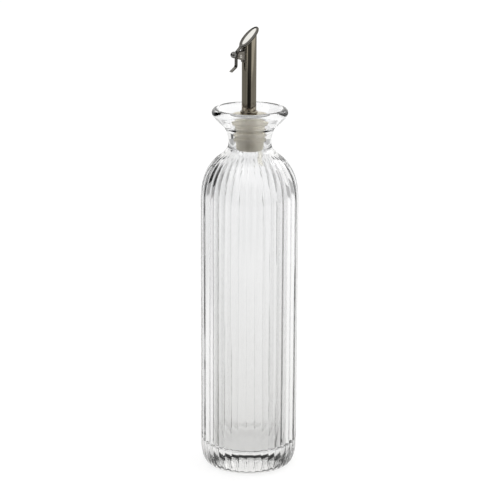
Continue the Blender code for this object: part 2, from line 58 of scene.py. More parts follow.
# Sizes that more than one sub-assembly keeps to
SPOUT_X = -0.8
SPOUT_MOUTH_HEIGHT = 291.8
SPOUT_SLANT = math.radians(45.0)
AIR_TUBE_PLACE = (5.889, -3.4)
PIN_REACH = 7.7
PIN_HEIGHT = 280.5
PIN_HOLE_RADIUS = 0.85
DRILL_LENGTH = 8.0
DRILL_COLUMNS = 48

Point = tuple[float, float]
Place = tuple[float, float, float]
Profile = list[Point]
Colour = tuple[float, float, float]
Mesh = bmesh.types.BMesh
Edge = bmesh.types.BMEdge
Material = bpy.types.Material
Socket = bpy.types.NodeSocket
Value = float | Socket
Paint = Colour | Socket

log = logging.getLogger("cruet")


class Body(Enum):
    """The bodies that pieces ride on."""

    CRUET = "cruet"
    LID = "lid"


class Grain(Enum):
    """How a steel surface was brushed: how fine its lines are across the upright and along it."""

    ALONG = (5200.0, 110.0)
    TUMBLED = (2600.0, 2600.0)


# Curves and profiles


def smoothstep(low: float, high: float, value: float) -> float:
    """Blends evenly from 0 to 1.

    Args:
        low: Where the blend starts.
        high: Where it ends.
        value: The place asked for.

    Returns:
        0 below low, 1 above high, and an even blend between them.
    """
    share = min(max((value - low) / (high - low), 0.0), 1.0)
    return share * share * (3 - 2 * share)


def arc(centre: Point, radius: float, start: float, end: float, steps: int, rise: float = 0.0) -> Profile:
    """Points of an arc or of an upright elliptic arc.

    Args:
        centre: The arc's centre.
        radius: Its radius, or its half width where rise is given.
        start: First angle in degrees.
        end: Last angle in degrees.
        steps: Number of equal steps.
        rise: Half height of an elliptic arc.

    Returns:
        The points, both ends among them.
    """
    height = rise or radius
    points = []
    for step in range(steps + 1):
        angle = math.radians(start + (end - start) * step / steps)
        points.append((centre[0] + radius * math.cos(angle), centre[1] + height * math.sin(angle)))
    return points


def curve_on(points: Profile, first_pull: Point, last_pull: Point, end: Point, steps: int) -> None:
    """Carries a profile on from its last point along a cubic curve.

    Args:
        points: The profile, which grows.
        first_pull: The point that draws the curve at its start.
        last_pull: The point that draws it at its end.
        end: Where it ends.
        steps: Number of points that are added.
    """
    corners = (points[-1], first_pull, last_pull, end)
    for step in range(1, steps + 1):
        t = step / steps
        weights = ((1 - t) ** 3, 3 * (1 - t) ** 2 * t, 3 * (1 - t) * t**2, t**3)
        across, up = (sum(w * c[i] for w, c in zip(weights, corners)) for i in range(2))
        points.append((across, up))


def rounded(corners: list[tuple[float, float, float]], steps: int = 4) -> Profile:
    """A path with each inner corner rounded.

    Args:
        corners: The corners, each with the reach of its rounding; the two ends have none.
        steps: Points on each rounding.

    Returns:
        The path's points.
    """
    path = [Vector(corner[:2]) for corner in corners]
    points = [tuple(path[0])]
    for number in range(1, len(path) - 1):
        corner = path[number]
        reach = corners[number][2]
        if reach <= 0:
            points.append(tuple(corner))
            continue
        start = corner + (path[number - 1] - corner).normalized() * reach
        end = corner + (path[number + 1] - corner).normalized() * reach
        points.append(tuple(start))
        curve_on(points, tuple((start + 2 * corner) / 3), tuple((end + 2 * corner) / 3), tuple(end), steps)
    points.append(tuple(path[-1]))
    return points


def strip_outline(path: Profile, half: float) -> Profile:
    """The closed outline of a bent strip.

    Args:
        path: The strip's middle line.
        half: Half of its thickness.

    Returns:
        The outline, out along one side and back along the other.
    """
    points = [Vector(point) for point in path]
    left: Profile = []
    right: Profile = []
    for number, point in enumerate(points):
        back = points[max(number - 1, 0)]
        ahead = points[min(number + 1, len(points) - 1)]
        along = (ahead - back).normalized()
        across = Vector((-along.y, along.x)) * half
        left.append(tuple(point + across))
        right.append(tuple(point - across))
    return left + right[::-1]


# Mesh building


def whole(work: Mesh) -> list:
    """All points, edges and faces of a mesh."""
    return work.verts[:] + work.edges[:] + work.faces[:]


def only(kind: type, items: list) -> list:
    """Those items that are of one kind."""
    return [item for item in items if isinstance(item, kind)]


def shift(work: Mesh, matrix: Matrix) -> Mesh:
    """Moves a whole mesh and returns it."""
    bmesh.ops.transform(work, matrix=matrix, verts=work.verts)
    return work


def spin(work: Mesh, geometry: list, angle: float, steps: int) -> None:
    """Sweeps points, edges or faces about Z.

    Args:
        work: The mesh that they are in.
        geometry: What is swept.
        angle: How far, in radians.
        steps: Number of equal steps.
    """
    bmesh.ops.spin(
        work,
        geom=geometry,
        cent=ORIGIN,
        axis=UP,
        dvec=ORIGIN,
        angle=angle,
        steps=steps,
        use_merge=False,
        use_duplicate=False,
    )


def bevel(work: Mesh, edges: list[Edge], width: float, segments: int) -> None:
    """Rounds edges.

    Args:
        work: The mesh that they are in.
        edges: The edges.
        width: How far the rounding reaches to each side of an edge.
        segments: Faces across the rounding.
    """
    bmesh.ops.bevel(
        work,
        geom=edges,
        offset=width,
        offset_type="OFFSET",
        affect="EDGES",
        segments=segments,
        profile=0.5,
        clamp_overlap=True,
        material=-1,
    )


def soften(work: Mesh, width: float, segments: int = 2, from_angle: float = 40.0) -> None:
    """Rounds a mesh's sharp edges.

    Args:
        work: The mesh.
        width: How far the rounding reaches to each side of an edge.
        segments: Faces across the rounding.
        from_angle: The smallest angle between faces, in degrees, that is rounded.
    """
    least = math.radians(from_angle)
    sharp = [edge for edge in work.edges if edge.is_manifold and edge.calc_face_angle() > least]
    bevel(work, sharp, width, segments)


def slice_off(work: Mesh, at: Place, facing: Place) -> list[Edge]:
    """Cuts a mesh along a plane and drops what lies beyond it.

    Args:
        work: The mesh.
        at: A point of the plane.
        facing: The way out of what is kept.

    Returns:
        The edges along the cut.
    """
    cut = bmesh.ops.bisect_plane(
        work, geom=whole(work), dist=MERGE, plane_co=at, plane_no=facing, clear_outer=True
    )["geom_cut"]
    return only(Edge, cut)


def fill_ring(work: Mesh, places: list[Place]) -> None:
    """Fills a closed ring of points with one face.

    Args:
        work: The mesh that the face is added to.
        places: The points in order.
    """
    ring = [work.verts.new(place) for place in places]
    lines = [work.edges.new(pair) for pair in zip(ring, ring[1:] + ring[:1])]
    bmesh.ops.contextual_create(work, geom=lines)


def raise_face(work: Mesh, geometry: list, way: Place) -> list:
    """Extrudes a flat face into a plate.

    Args:
        work: The mesh.
        geometry: The face, with or without its edges.
        way: How far its copy is moved.

    Returns:
        What is new.
    """
    lifted = bmesh.ops.extrude_face_region(work, geom=geometry)["geom"]
    bmesh.ops.translate(work, vec=way, verts=only(bmesh.types.BMVert, lifted))
    return lifted


def turned(profile: Profile, columns: int, closed: bool = False) -> Mesh:
    """Turns a profile of (radius, height) points about Z: an eighth is spun, then doubled three times.

    Args:
        profile: The points, down the outer side.
        columns: Steps of the full turn, a multiple of eight.
        closed: Whether the last point joins the first.

    Returns:
        The turned shape as a mesh.
    """
    work = bmesh.new()
    points = [work.verts.new((radius, 0.0, height)) for radius, height in profile]
    pairs = list(zip(points, points[1:]))
    if closed:
        pairs.append((points[-1], points[0]))
    lines = [work.edges.new(pair) for pair in pairs]
    eighth = RIGHT_ANGLE / 2
    spin(work, points + lines, eighth, columns // 8)
    for doubling in range(3):
        copied = bmesh.ops.duplicate(work, geom=whole(work))["geom"]
        turn = Matrix.Rotation(eighth * 2**doubling, 3, "Z")
        bmesh.ops.rotate(work, cent=ORIGIN, matrix=turn, verts=only(bmesh.types.BMVert, copied))
    bmesh.ops.remove_doubles(work, verts=work.verts, dist=MERGE)
    bmesh.ops.recalc_face_normals(work, faces=work.faces)
    return work


def gathered(parts: list[Mesh]) -> Mesh:
    """Brings meshes together and welds the edges where they meet.

    Args:
        parts: The meshes, freed here.

    Returns:
        One mesh.
    """
    work = bmesh.new()
    for part in parts:
        mesh = bpy.data.meshes.new("scratch")
        part.to_mesh(mesh)
        part.free()
        work.from_mesh(mesh)
        bpy.data.meshes.remove(mesh)
    bmesh.ops.remove_doubles(work, verts=work.verts, dist=MERGE)
    return work


def outline_plate(outline: Profile, half: float) -> Mesh:
    """A plate with an outline in the XZ plane.

    Args:
        outline: The closed outline's points.
        half: How far the plate reaches to each side in Y.

    Returns:
        The plate as a mesh.
    """
    work = bmesh.new()
    fill_ring(work, [(x, -half, z) for x, z in outline])
    raise_face(work, work.faces[:] + work.edges[:], (0.0, 2 * half, 0.0))
    bmesh.ops.recalc_face_normals(work, faces=work.faces)
    return work


def rod(radius: float, length: float, columns: int, centre: Place, along_y: bool = False) -> Mesh:
    """A round bar, upright or along Y, used as a drill.

    Args:
        radius: The bar's radius.
        length: Its length.
        columns: Sides of its round.
        centre: Its middle.
        along_y: Whether it lies along Y.

    Returns:
        The bar as a mesh.
    """
    work = bmesh.new()
    turn = Matrix.Rotation(RIGHT_ANGLE, 4, "X") if along_y else Matrix.Identity(4)
    bmesh.ops.create_cone(
        work,
        cap_ends=True,
        segments=columns,
        radius1=radius,
        radius2=radius,
        depth=length,
        matrix=Matrix.Translation(centre) @ turn,
    )
    return work


def pin_drill() -> Mesh:
    """The drill for the pin's hole, measured from the spout's axis."""
    return rod(PIN_HOLE_RADIUS, DRILL_LENGTH, DRILL_COLUMNS, (-PIN_REACH, 0.0, PIN_HEIGHT), along_y=True)


def scratch_object(work: Mesh) -> bpy.types.Object:
    """Puts a mesh in the scene for a moment.

    Args:
        work: The mesh, freed here.

    Returns:
        Its object.
    """
    mesh = bpy.data.meshes.new("scratch")
    work.to_mesh(mesh)
    work.free()
    item = bpy.data.objects.new("scratch", mesh)
    bpy.context.scene.collection.objects.link(item)
    return item


def combined(base: Mesh, steps: list[tuple[str, Mesh]]) -> Mesh:
    """Joins and cuts closed meshes.

    Args:
        base: The mesh that is worked on.
        steps: Each an operation, UNION or DIFFERENCE, and the mesh that does it.

    Returns:
        The result as a new mesh; the meshes given are freed.
    """
    item = scratch_object(base)
    tools = [scratch_object(tool) for _, tool in steps]
    for (operation, _), tool in zip(steps, tools):
        step = item.modifiers.new("join", "BOOLEAN")
        step.operation = operation
        step.solver = "EXACT"
        step.object = tool
    bpy.context.view_layer.update()
    shape = item.evaluated_get(bpy.context.evaluated_depsgraph_get())
    mesh = bpy.data.meshes.new_from_object(shape)
    result = bmesh.new()
    result.from_mesh(mesh)
    bmesh.ops.remove_doubles(result, verts=result.verts, dist=MERGE)
    bmesh.ops.dissolve_degenerate(result, dist=MERGE, edges=result.edges)
    for scratch in (item, *tools):
        leftover = scratch.data
        bpy.data.objects.remove(scratch, do_unlink=True)
        bpy.data.meshes.remove(leftover)
    bpy.data.meshes.remove(mesh)
    return result


def mark_edges(work: Mesh) -> None:
    """Stores how strongly each point stands on an outer edge, for the wear of the finish.

    Args:
        work: The mesh.
    """
    layer = work.verts.layers.float.new("edge_wear")
    for vertex in work.verts:
        turns = [edge.calc_face_angle_signed() for edge in vertex.link_edges if edge.is_manifold]
        vertex[layer] = min(max(max(turns, default=0.0) / FULL_WEAR_TURN, 0.0), 1.0)


@dataclass(frozen=True)
class Piece:
    """Where a finished mesh belongs.

    Attributes:
        name: The piece's own name.
        node: The node of the frame that it stands for.
        slot: The record's material slot; not used.
        body: The body that it rides on.
        even_shade: Whether flat faces are shaded flat up to their rounded edges.
    """

    name: str
    node: str
    slot: str
    body: Body = Body.CRUET
    even_shade: bool = False

    def finish(self, work: Mesh, material: Material) -> None:
        """Turns a mesh in millimetres into a piece of the model.

        Args:
            work: The mesh, freed here.
            material: Its finish.
        """
        bmesh.ops.recalc_face_normals(work, faces=work.faces)
        mark_edges(work)
        bmesh.ops.scale(work, vec=(MM, MM, MM), verts=work.verts)
        mesh = bpy.data.meshes.new(self.name)
        work.to_mesh(mesh)
        work.free()
        mesh.materials.append(material)
        mesh.shade_smooth()
        mesh.set_sharp_from_angle(angle=SMOOTH_BELOW)
        piece = bpy.data.objects.new(self.name, mesh)
        bpy.context.scene.collection.objects.link(piece)
        if self.even_shade:
            shade = piece.modifiers.new("even_shade", "WEIGHTED_NORMAL")
            shade.keep_sharp = True
        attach(piece, self.body.value)
        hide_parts(self.node)
        log.info("%s: %d faces on body %s", self.name, len(mesh.polygons), self.body.value)


# Shader nodes


class NodeSheet:
    """Places and links the nodes of one shader tree."""

    def __init__(self, tree: bpy.types.NodeTree) -> None:
        """Keeps the tree."""
        self.tree = tree

    def fill(self, node: bpy.types.Node, sockets: dict) -> None:
        """Sets or links a node's inputs.

        Args:
            node: The node.
            sockets: Values or outputs of other nodes, by input name or number.
        """
        for name, value in sockets.items():
            if isinstance(value, Socket):
                self.tree.links.new(value, node.inputs[name])
            else:
                node.inputs[name].default_value = value

    def add(self, kind: str, sockets: dict | None = None, **settings: object) -> bpy.types.Node:
        """Adds a node.

        Args:
            kind: The node's type, without its ShaderNode prefix.
            sockets: Values or outputs of other nodes, by input name or number.
            settings: The node's own settings.

        Returns:
            The node.
        """
        made = self.tree.nodes.new("ShaderNode" + kind)
        for name, value in settings.items():
            setattr(made, name, value)
        self.fill(made, sockets or {})
        return made

    def place(self) -> Socket:
        """The Object coordinates."""
        return self.add("TexCoord").outputs["Object"]

    def parts(self, vector: Socket) -> bpy.types.NodeOutputs:
        """The X, Y and Z of a vector."""
        return self.add("SeparateXYZ", {0: vector}).outputs

    def reach(self, vector: Socket, way: Place) -> Socket:
        """How far a vector goes in a direction."""
        return self.add("VectorMath", {0: vector, 1: way}, operation="DOT_PRODUCT").outputs["Value"]

    def noise(self, vector: Socket, scale: Value, detail: float) -> Socket:
        """Adds an even noise.

        Args:
            vector: The coordinates that it reads.
            scale: Its fineness, a value or an output.
            detail: Its octaves.

        Returns:
            Its value.
        """
        return self.add("TexNoise", {"Vector": vector, "Scale": scale, "Detail": detail}).outputs[0]

    def maths(self, operation: str, first: Value, second: Value = 0.0) -> Socket:
        """Adds a sum on two values.

        Args:
            operation: The node's operation.
            first: A value or an output.
            second: A value or an output.

        Returns:
            The result.
        """
        return self.add("Math", {0: first, 1: second}, operation=operation).outputs[0]

    def product(self, first: Value, second: Value) -> Socket:
        """Two values or outputs multiplied."""
        return self.maths("MULTIPLY", first, second)

    def total(self, first: Value, second: Value) -> Socket:
        """Two values or outputs added."""
        return self.maths("ADD", first, second)

    def less(self, first: Value, second: Value) -> Socket:
        """The second value or output taken from the first."""
        return self.maths("SUBTRACT", first, second)

    def span(self, value: Socket, limits: Point, start: Value = 0.0, end: Value = 1.0) -> Socket:
        """Maps one range smoothly to another.

        Args:
            value: What is mapped.
            limits: Where the change starts and where it ends.
            start: The result at its start, a value or an output.
            end: The result at its end.

        Returns:
            The mapped value.
        """
        low, high = limits
        sockets = {"Value": value, "From Min": low, "From Max": high, "To Min": start, "To Max": end}
        return self.add("MapRange", sockets, interpolation_type="SMOOTHSTEP").outputs[0]

    def blend(self, factor: Value, first: Paint, second: Paint) -> Socket:
        """Mixes two colours.

        Args:
            factor: The second colour's share.
            first: A colour or an output.
            second: A colour or an output.

        Returns:
            The mixed colour.
        """
        sockets = {0: factor}
        for number, colour in ((6, first), (7, second)):
            sockets[number] = (*colour, 1.0) if isinstance(colour, tuple) else colour
        return self.add("Mix", sockets, data_type="RGBA").outputs[2]

    def bump(self, height: Socket, strength: float, depth: float) -> Socket:
        """Adds relief.

        Args:
            height: The relief's height, 0 to 1.
            strength: How strongly it shows.
            depth: Its depth, in metres.

        Returns:
            The bent normal.
        """
        return self.add("Bump", {"Strength": strength, "Distance": depth, "Height": height}).outputs[0]


class EffectGroup:
    """A shader node group that several finishes share."""

    def __init__(self, name: str, takes: list[str], gives: list[str]) -> None:
        """Makes the empty group.

        Args:
            name: The group's name.
            takes: Its inputs.
            gives: Its outputs.
        """
        self.tree = bpy.data.node_groups.new(name, "ShaderNodeTree")
        for way, sockets in (("INPUT", takes), ("OUTPUT", gives)):
            for socket in sockets:
                self.tree.interface.new_socket(name=socket, in_out=way, socket_type="NodeSocketFloat")
        self.sheet = NodeSheet(self.tree)
        self.inside = self.tree.nodes.new("NodeGroupInput").outputs
        self.result = self.tree.nodes.new("NodeGroupOutput").inputs

    def stretched(self) -> Socket:
        """The Object coordinates times the group's Across and Upright values.

        Returns:
            The scaled coordinates.
        """
        parts = self.sheet.parts(self.sheet.place())
        scales = [self.inside[name] for name in ("Across", "Across", "Upright")]
        scaled = {number: self.sheet.product(parts[number], scale) for number, scale in enumerate(scales)}
        return self.sheet.add("CombineXYZ", scaled).outputs[0]

    def give(self, name: str, socket: Socket) -> None:
        """Links an output of the group."""
        self.tree.links.new(socket, self.result[name])

    def use(self, sheet: NodeSheet, **values: float) -> bpy.types.NodeOutputs:
        """Puts the group in a material.

        Args:
            sheet: The material's nodes.
            values: The group's inputs there.

        Returns:
            The outputs of the group node.
        """
        made = sheet.add("Group", node_tree=self.tree)
        sheet.fill(made, values)
        return made.outputs


class SharedEffects:
    """The effects that more than one finish uses."""

    def __init__(self) -> None:
        """Builds each group once."""
        self.ripple = self.make_ripple()
        self.grain = self.make_grain()
        self.handling = self.make_handling()
        self.wear = self.make_wear()

    def make_ripple(self) -> EffectGroup:
        """The slow unevenness of a moulded surface.

        Returns:
            The group.
        """
        group = EffectGroup("moulded_ripple", ["Across", "Upright"], ["Height"])
        group.give("Height", group.sheet.noise(group.stretched(), scale=1.0, detail=1.5))
        return group

    def make_grain(self) -> EffectGroup:
        """Fine brushed lines, which run upright where Across is far larger than Upright.

        Returns:
            The group.
        """
        group = EffectGroup("brushed_grain", ["Across", "Upright"], ["Line", "Shade"])
        sheet, scaled = group.sheet, group.stretched()
        group.give("Line", sheet.noise(scaled, scale=1.0, detail=3.0))
        group.give("Shade", sheet.span(sheet.noise(scaled, scale=0.28, detail=2.0), (0.25, 0.75)))
        return group

    def make_handling(self) -> EffectGroup:
        """Soft patches where fingers and drops have dulled a surface.

        Returns:
            The group.
        """
        group = EffectGroup("handling_marks", ["Scale"], ["Mask"])
        sheet = group.sheet
        broad = sheet.noise(sheet.place(), scale=group.inside["Scale"], detail=4.0)
        group.give("Mask", sheet.span(broad, (0.48, 0.72)))
        return group

    def make_wear(self) -> EffectGroup:
        """Bright rubbed edges, broken up by a fine noise.

        Returns:
            The group.
        """
        group = EffectGroup("edge_rub", ["Amount"], ["Mask"])
        sheet = group.sheet
        edge = sheet.add("Attribute", attribute_name="edge_wear").outputs["Fac"]
        broken = sheet.span(sheet.noise(sheet.place(), scale=900.0, detail=3.0), (0.3, 0.7), start=0.35)
        rubbed = sheet.product(sheet.span(edge, (0.25, 0.9)), broken)
        group.give("Mask", sheet.product(rubbed, group.inside["Amount"]))
        return group


def new_material(name: str) -> tuple[Material, NodeSheet, bpy.types.Node]:
    """An empty material with its main shader.

    Args:
        name: The finish's name.

    Returns:
        The material, its node sheet and its Principled shader.
    """
    made = bpy.data.materials.new(name)
    made.use_nodes = True
    return made, NodeSheet(made.node_tree), made.node_tree.nodes["Principled BSDF"]


@dataclass(frozen=True)
class ClearGlass:
    """Pressed clear glass with a fine polish and the faint ripple of the mould.

    Attributes:
        tint: The colour that light keeps on its way through.
        deep_tint: The tint in the patches that are a little denser.
        foot_and_shade_tint: The tint of the thicker glass near the foot.
        foot_full: Height below which the foot's tint is full.
        foot_gone: Height above which there is none of it.
        roughness: How far the polish spreads a reflection.
        dulled: Roughness in the patches that were handled.
        ripple: Depth of the mould's unevenness.
    """

    tint: Colour = (0.94, 0.942, 0.945)
    deep_tint: Colour = (0.915, 0.918, 0.922)
    # foot_and_shade_tint: A darker tint towards the foot: the thicker glass of the foot itself, and painted
    # shade on the lower body above it. foot_full: Height below which that darker tint is full.
    foot_and_shade_tint: Colour = (0.83, 0.83, 0.825)
    foot_full: float = 0.03
    foot_gone: float = 0.2
    roughness: float = 0.012
    dulled: float = 0.035
    ripple: float = 0.00022

    def material(self, effects: SharedEffects) -> Material:
        """Builds the glass.

        Args:
            effects: The shared groups.

        Returns:
            The material.
        """
        made, sheet, shader = new_material("clear_pressed_glass")
        uneven = effects.ripple.use(sheet, Across=85.0, Upright=24.0)["Height"]
        marks = effects.handling.use(sheet, Scale=45.0)["Mask"]
        limits = {"From Min": self.foot_full, "From Max": self.foot_gone, "To Min": 1.0, "To Max": 0.0}
        low = sheet.add("MapRange", {"Value": sheet.parts(sheet.place())["Z"], **limits}).outputs[0]
        clear = sheet.blend(uneven, self.tint, self.deep_tint)
        finish = {
            # Painted shade: the glass is tinted darker towards the foot, also up the lower body where the
            # wall is no thicker; only at the foot is the glass really thicker.
            "Base Color": sheet.blend(low, clear, self.foot_and_shade_tint),
            "Roughness": sheet.span(marks, (0.0, 1.0), self.roughness, self.dulled),
            "Normal": sheet.bump(uneven, strength=0.5, depth=self.ripple),
            "Transmission Weight": 1.0,
            "IOR": 1.5,
        }
        sheet.fill(shader, finish)
        return made


@dataclass(frozen=True)
class MilkyPlastic:
    """Soft moulded plastic that lets some light through.

    Attributes:
        name: The finish's name.
        colour: Its usual colour.
        shade: Its colour in the denser patches.
        clearness: The share of light that passes through it.
        roughness: Its usual roughness.
        glow: Painted light: a faint glow in its own colour on every side, standing in for the light that
            scatters inside it.
        dulling: How much rougher it is where it was handled.
        matt_scale: How fine its matt surface is.
        matt_share: The matt surface's share of the relief.
        relief: Depth of the relief.
    """

    name: str
    colour: Colour
    shade: Colour
    clearness: float
    roughness: float
    glow: float
    dulling: float = 0.14
    matt_scale: float = 2600.0
    matt_share: float = 0.12
    relief: float = 0.00012

    def material(self, effects: SharedEffects) -> Material:
        """Builds the plastic.

        Args:
            effects: The shared groups.

        Returns:
            The material.
        """
        made, sheet, shader = new_material(self.name)
        uneven = effects.ripple.use(sheet, Across=260.0, Upright=210.0)["Height"]
        marks = effects.handling.use(sheet, Scale=190.0)["Mask"]
        matt = sheet.noise(sheet.place(), scale=self.matt_scale, detail=3.0)
        height = sheet.total(sheet.product(matt, self.matt_share), uneven)
        finish = {
            "Base Color": sheet.blend(uneven, self.colour, self.shade),
            "Roughness": sheet.span(marks, (0.0, 1.0), self.roughness, self.roughness + self.dulling),
            "Normal": sheet.bump(height, strength=0.5, depth=self.relief),
            "Transmission Weight": self.clearness,
            "IOR": 1.45,
            # Painted light: the plastic glows faintly in its own colour, though it is no lamp.
            "Emission Color": (*self.colour, 1.0),
            "Emission Strength": self.glow,
        }
        sheet.fill(shader, finish)
        return made


@dataclass(frozen=True)
class DishSheenAndPolish:
    """The lid's dish, round when it is looked down on: a painted reflection that makes it brighter than the
    rest of the lid, and a lower roughness.

    Attributes:
        middle: Its middle along X.
        half_long: Half its reach along X.
        half_wide: Half its reach along Y.
        edge: Where its edge starts and ends, as squared shares of its reach.
        colour: Its painted reflection, a bright colour in place of the lid's dark steel.
        roughness: Its roughness.
    """

    middle: float = -0.0008
    half_long: float = 0.005
    half_wide: float = 0.0031
    edge: Point = (0.86, 1.06)
    colour: Colour = (0.86, 0.85, 0.81)
    roughness: float = 0.12

    def mask(self, sheet: NodeSheet) -> Socket:
        """Where the dish is.

        Args:
            sheet: The material's nodes.

        Returns:
            1 in the dish and 0 outside it.
        """
        parts = sheet.parts(sheet.place())
        along = sheet.maths("DIVIDE", sheet.less(parts[0], self.middle), self.half_long)
        across = sheet.maths("DIVIDE", parts[1], self.half_wide)
        reach = sheet.total(sheet.product(along, along), sheet.product(across, across))
        return sheet.span(reach, self.edge, 1.0, 0.0)


@dataclass(frozen=True)
class FootDarkening:
    """Brown patches that darken a tube, strongest at its foot.

    Attributes:
        heights: The height below which they are strongest, and the height at which they end.
        strength: How much they cover where they are strongest.
        scale: How fine they are.
        edge: The noise at which a patch starts, and at which it is full.
        colour: Their colour.
    """

    heights: Point = (0.2455, 0.2515)
    strength: float = 0.85
    scale: float = 620.0
    edge: Point = (0.42, 0.6)
    colour: Colour = (0.07, 0.045, 0.03)

    def mask(self, sheet: NodeSheet) -> Socket:
        """Where the patches are.

        Args:
            sheet: The material's nodes.

        Returns:
            Their cover, 0 to 1.
        """
        place = sheet.place()
        low = sheet.span(sheet.parts(place)[2], self.heights, self.strength, 0.0)
        return sheet.product(low, sheet.span(sheet.noise(place, self.scale, detail=2.0), self.edge))


@dataclass(frozen=True)
class Steel:
    """Stainless steel, brushed or tumbled, a little brighter on rubbed edges.

    Attributes:
        name: The finish's name.
        colour: Its colour on open faces.
        shade: Its colour in the darker lines.
        rubbed: Its colour on edges.
        roughness: Its usual roughness.
        spread: How much roughness varies.
        grain: How it was brushed.
        dish: A part of it that gets a painted reflection, a brighter colour, and a lower roughness.
        foot_darkening: Its darker brown patches towards its foot, if it has any.
        rub: How strongly its edges are rubbed.
        line_share: How much the brushed lines dull it, next to the handled patches.
        dulled: The sums of both at which it starts to be and is at its roughest.
        relief: Depth of the brushed lines.
    """

    name: str
    colour: Colour
    shade: Colour
    rubbed: Colour
    roughness: float
    spread: float = 0.1
    grain: Grain = Grain.TUMBLED
    dish: DishSheenAndPolish | None = None
    foot_darkening: FootDarkening | None = None
    rub: float = 0.8
    line_share: float = 0.6
    dulled: Point = (0.0, 1.4)
    relief: float = 0.00002

    def material(self, effects: SharedEffects) -> Material:
        """Builds the steel.

        Args:
            effects: The shared groups.

        Returns:
            The material.
        """
        made, sheet, shader = new_material(self.name)
        across, upright = self.grain.value
        grain = effects.grain.use(sheet, Across=across, Upright=upright)
        marks = effects.handling.use(sheet, Scale=260.0)["Mask"]
        wear = effects.wear.use(sheet, Amount=self.rub)["Mask"]
        colour = sheet.blend(wear, sheet.blend(grain["Shade"], self.colour, self.shade), self.rubbed)
        dulling = sheet.total(sheet.product(grain["Line"], self.line_share), marks)
        rough = sheet.span(dulling, self.dulled, self.roughness, self.roughness + self.spread)
        if self.dish:
            # Painted reflection: the dish is painted bright, and its roughness is lowered.
            sheen_and_polish = self.dish.mask(sheet)
            colour = sheet.blend(sheen_and_polish, colour, self.dish.colour)
            rough = sheet.span(sheen_and_polish, (0.0, 1.0), rough, self.dish.roughness)
        if self.foot_darkening:
            colour = sheet.blend(self.foot_darkening.mask(sheet), colour, self.foot_darkening.colour)
        finish = {
            "Base Color": colour,
            "Roughness": rough,
            "Normal": sheet.bump(grain["Line"], strength=0.35, depth=self.relief),
            "Metallic": 1.0,
        }
        sheet.fill(shader, finish)
        return made


STOPPER_PLASTIC = MilkyPlastic(
    name="milky_plastic",
    colour=(0.99, 0.955, 0.86),
    shade=(0.975, 0.93, 0.815),
    clearness=0.7,
    roughness=0.5,
    glow=0.028,
)
AIR_TUBE_PLASTIC = MilkyPlastic(
    name="pale_plastic",
    colour=(0.98, 0.97, 0.93),
    shade=(0.96, 0.95, 0.9),
    clearness=0.88,
    roughness=0.25,
    glow=0.1,
)
SPOUT_STEEL = Steel(
    name="brushed_spout_steel",
    colour=(0.37, 0.335, 0.265),
    shade=(0.3, 0.27, 0.21),
    rubbed=(0.52, 0.48, 0.40),
    roughness=0.05,
    spread=0.03,
    grain=Grain.ALONG,
    foot_darkening=FootDarkening(),
)
SADDLE_STEEL = Steel(
    name="saddle_steel",
    colour=(0.25, 0.23, 0.2),
    shade=(0.19, 0.175, 0.15),
    rubbed=(0.42, 0.4, 0.36),
    roughness=0.22,
)
RIVET_STEEL = Steel(
    name="rivet_steel",
    colour=(0.62, 0.6, 0.55),
    shade=(0.5, 0.48, 0.44),
    rubbed=(0.75, 0.73, 0.68),
    roughness=0.2,
)
LID_STEEL = Steel(
    name="lid_steel",
    colour=(0.12, 0.113, 0.1),
    shade=(0.09, 0.085, 0.073),
    rubbed=(0.3, 0.29, 0.26),
    roughness=0.18,
    spread=0.06,
    dish=DishSheenAndPolish(),
)
WEIGHT_STEEL = Steel(
    name="weight_steel",
    colour=(0.21, 0.21, 0.2),
    shade=(0.16, 0.16, 0.15),
    rubbed=(0.36, 0.35, 0.33),
    roughness=0.16,
)


# Sub-assemblies


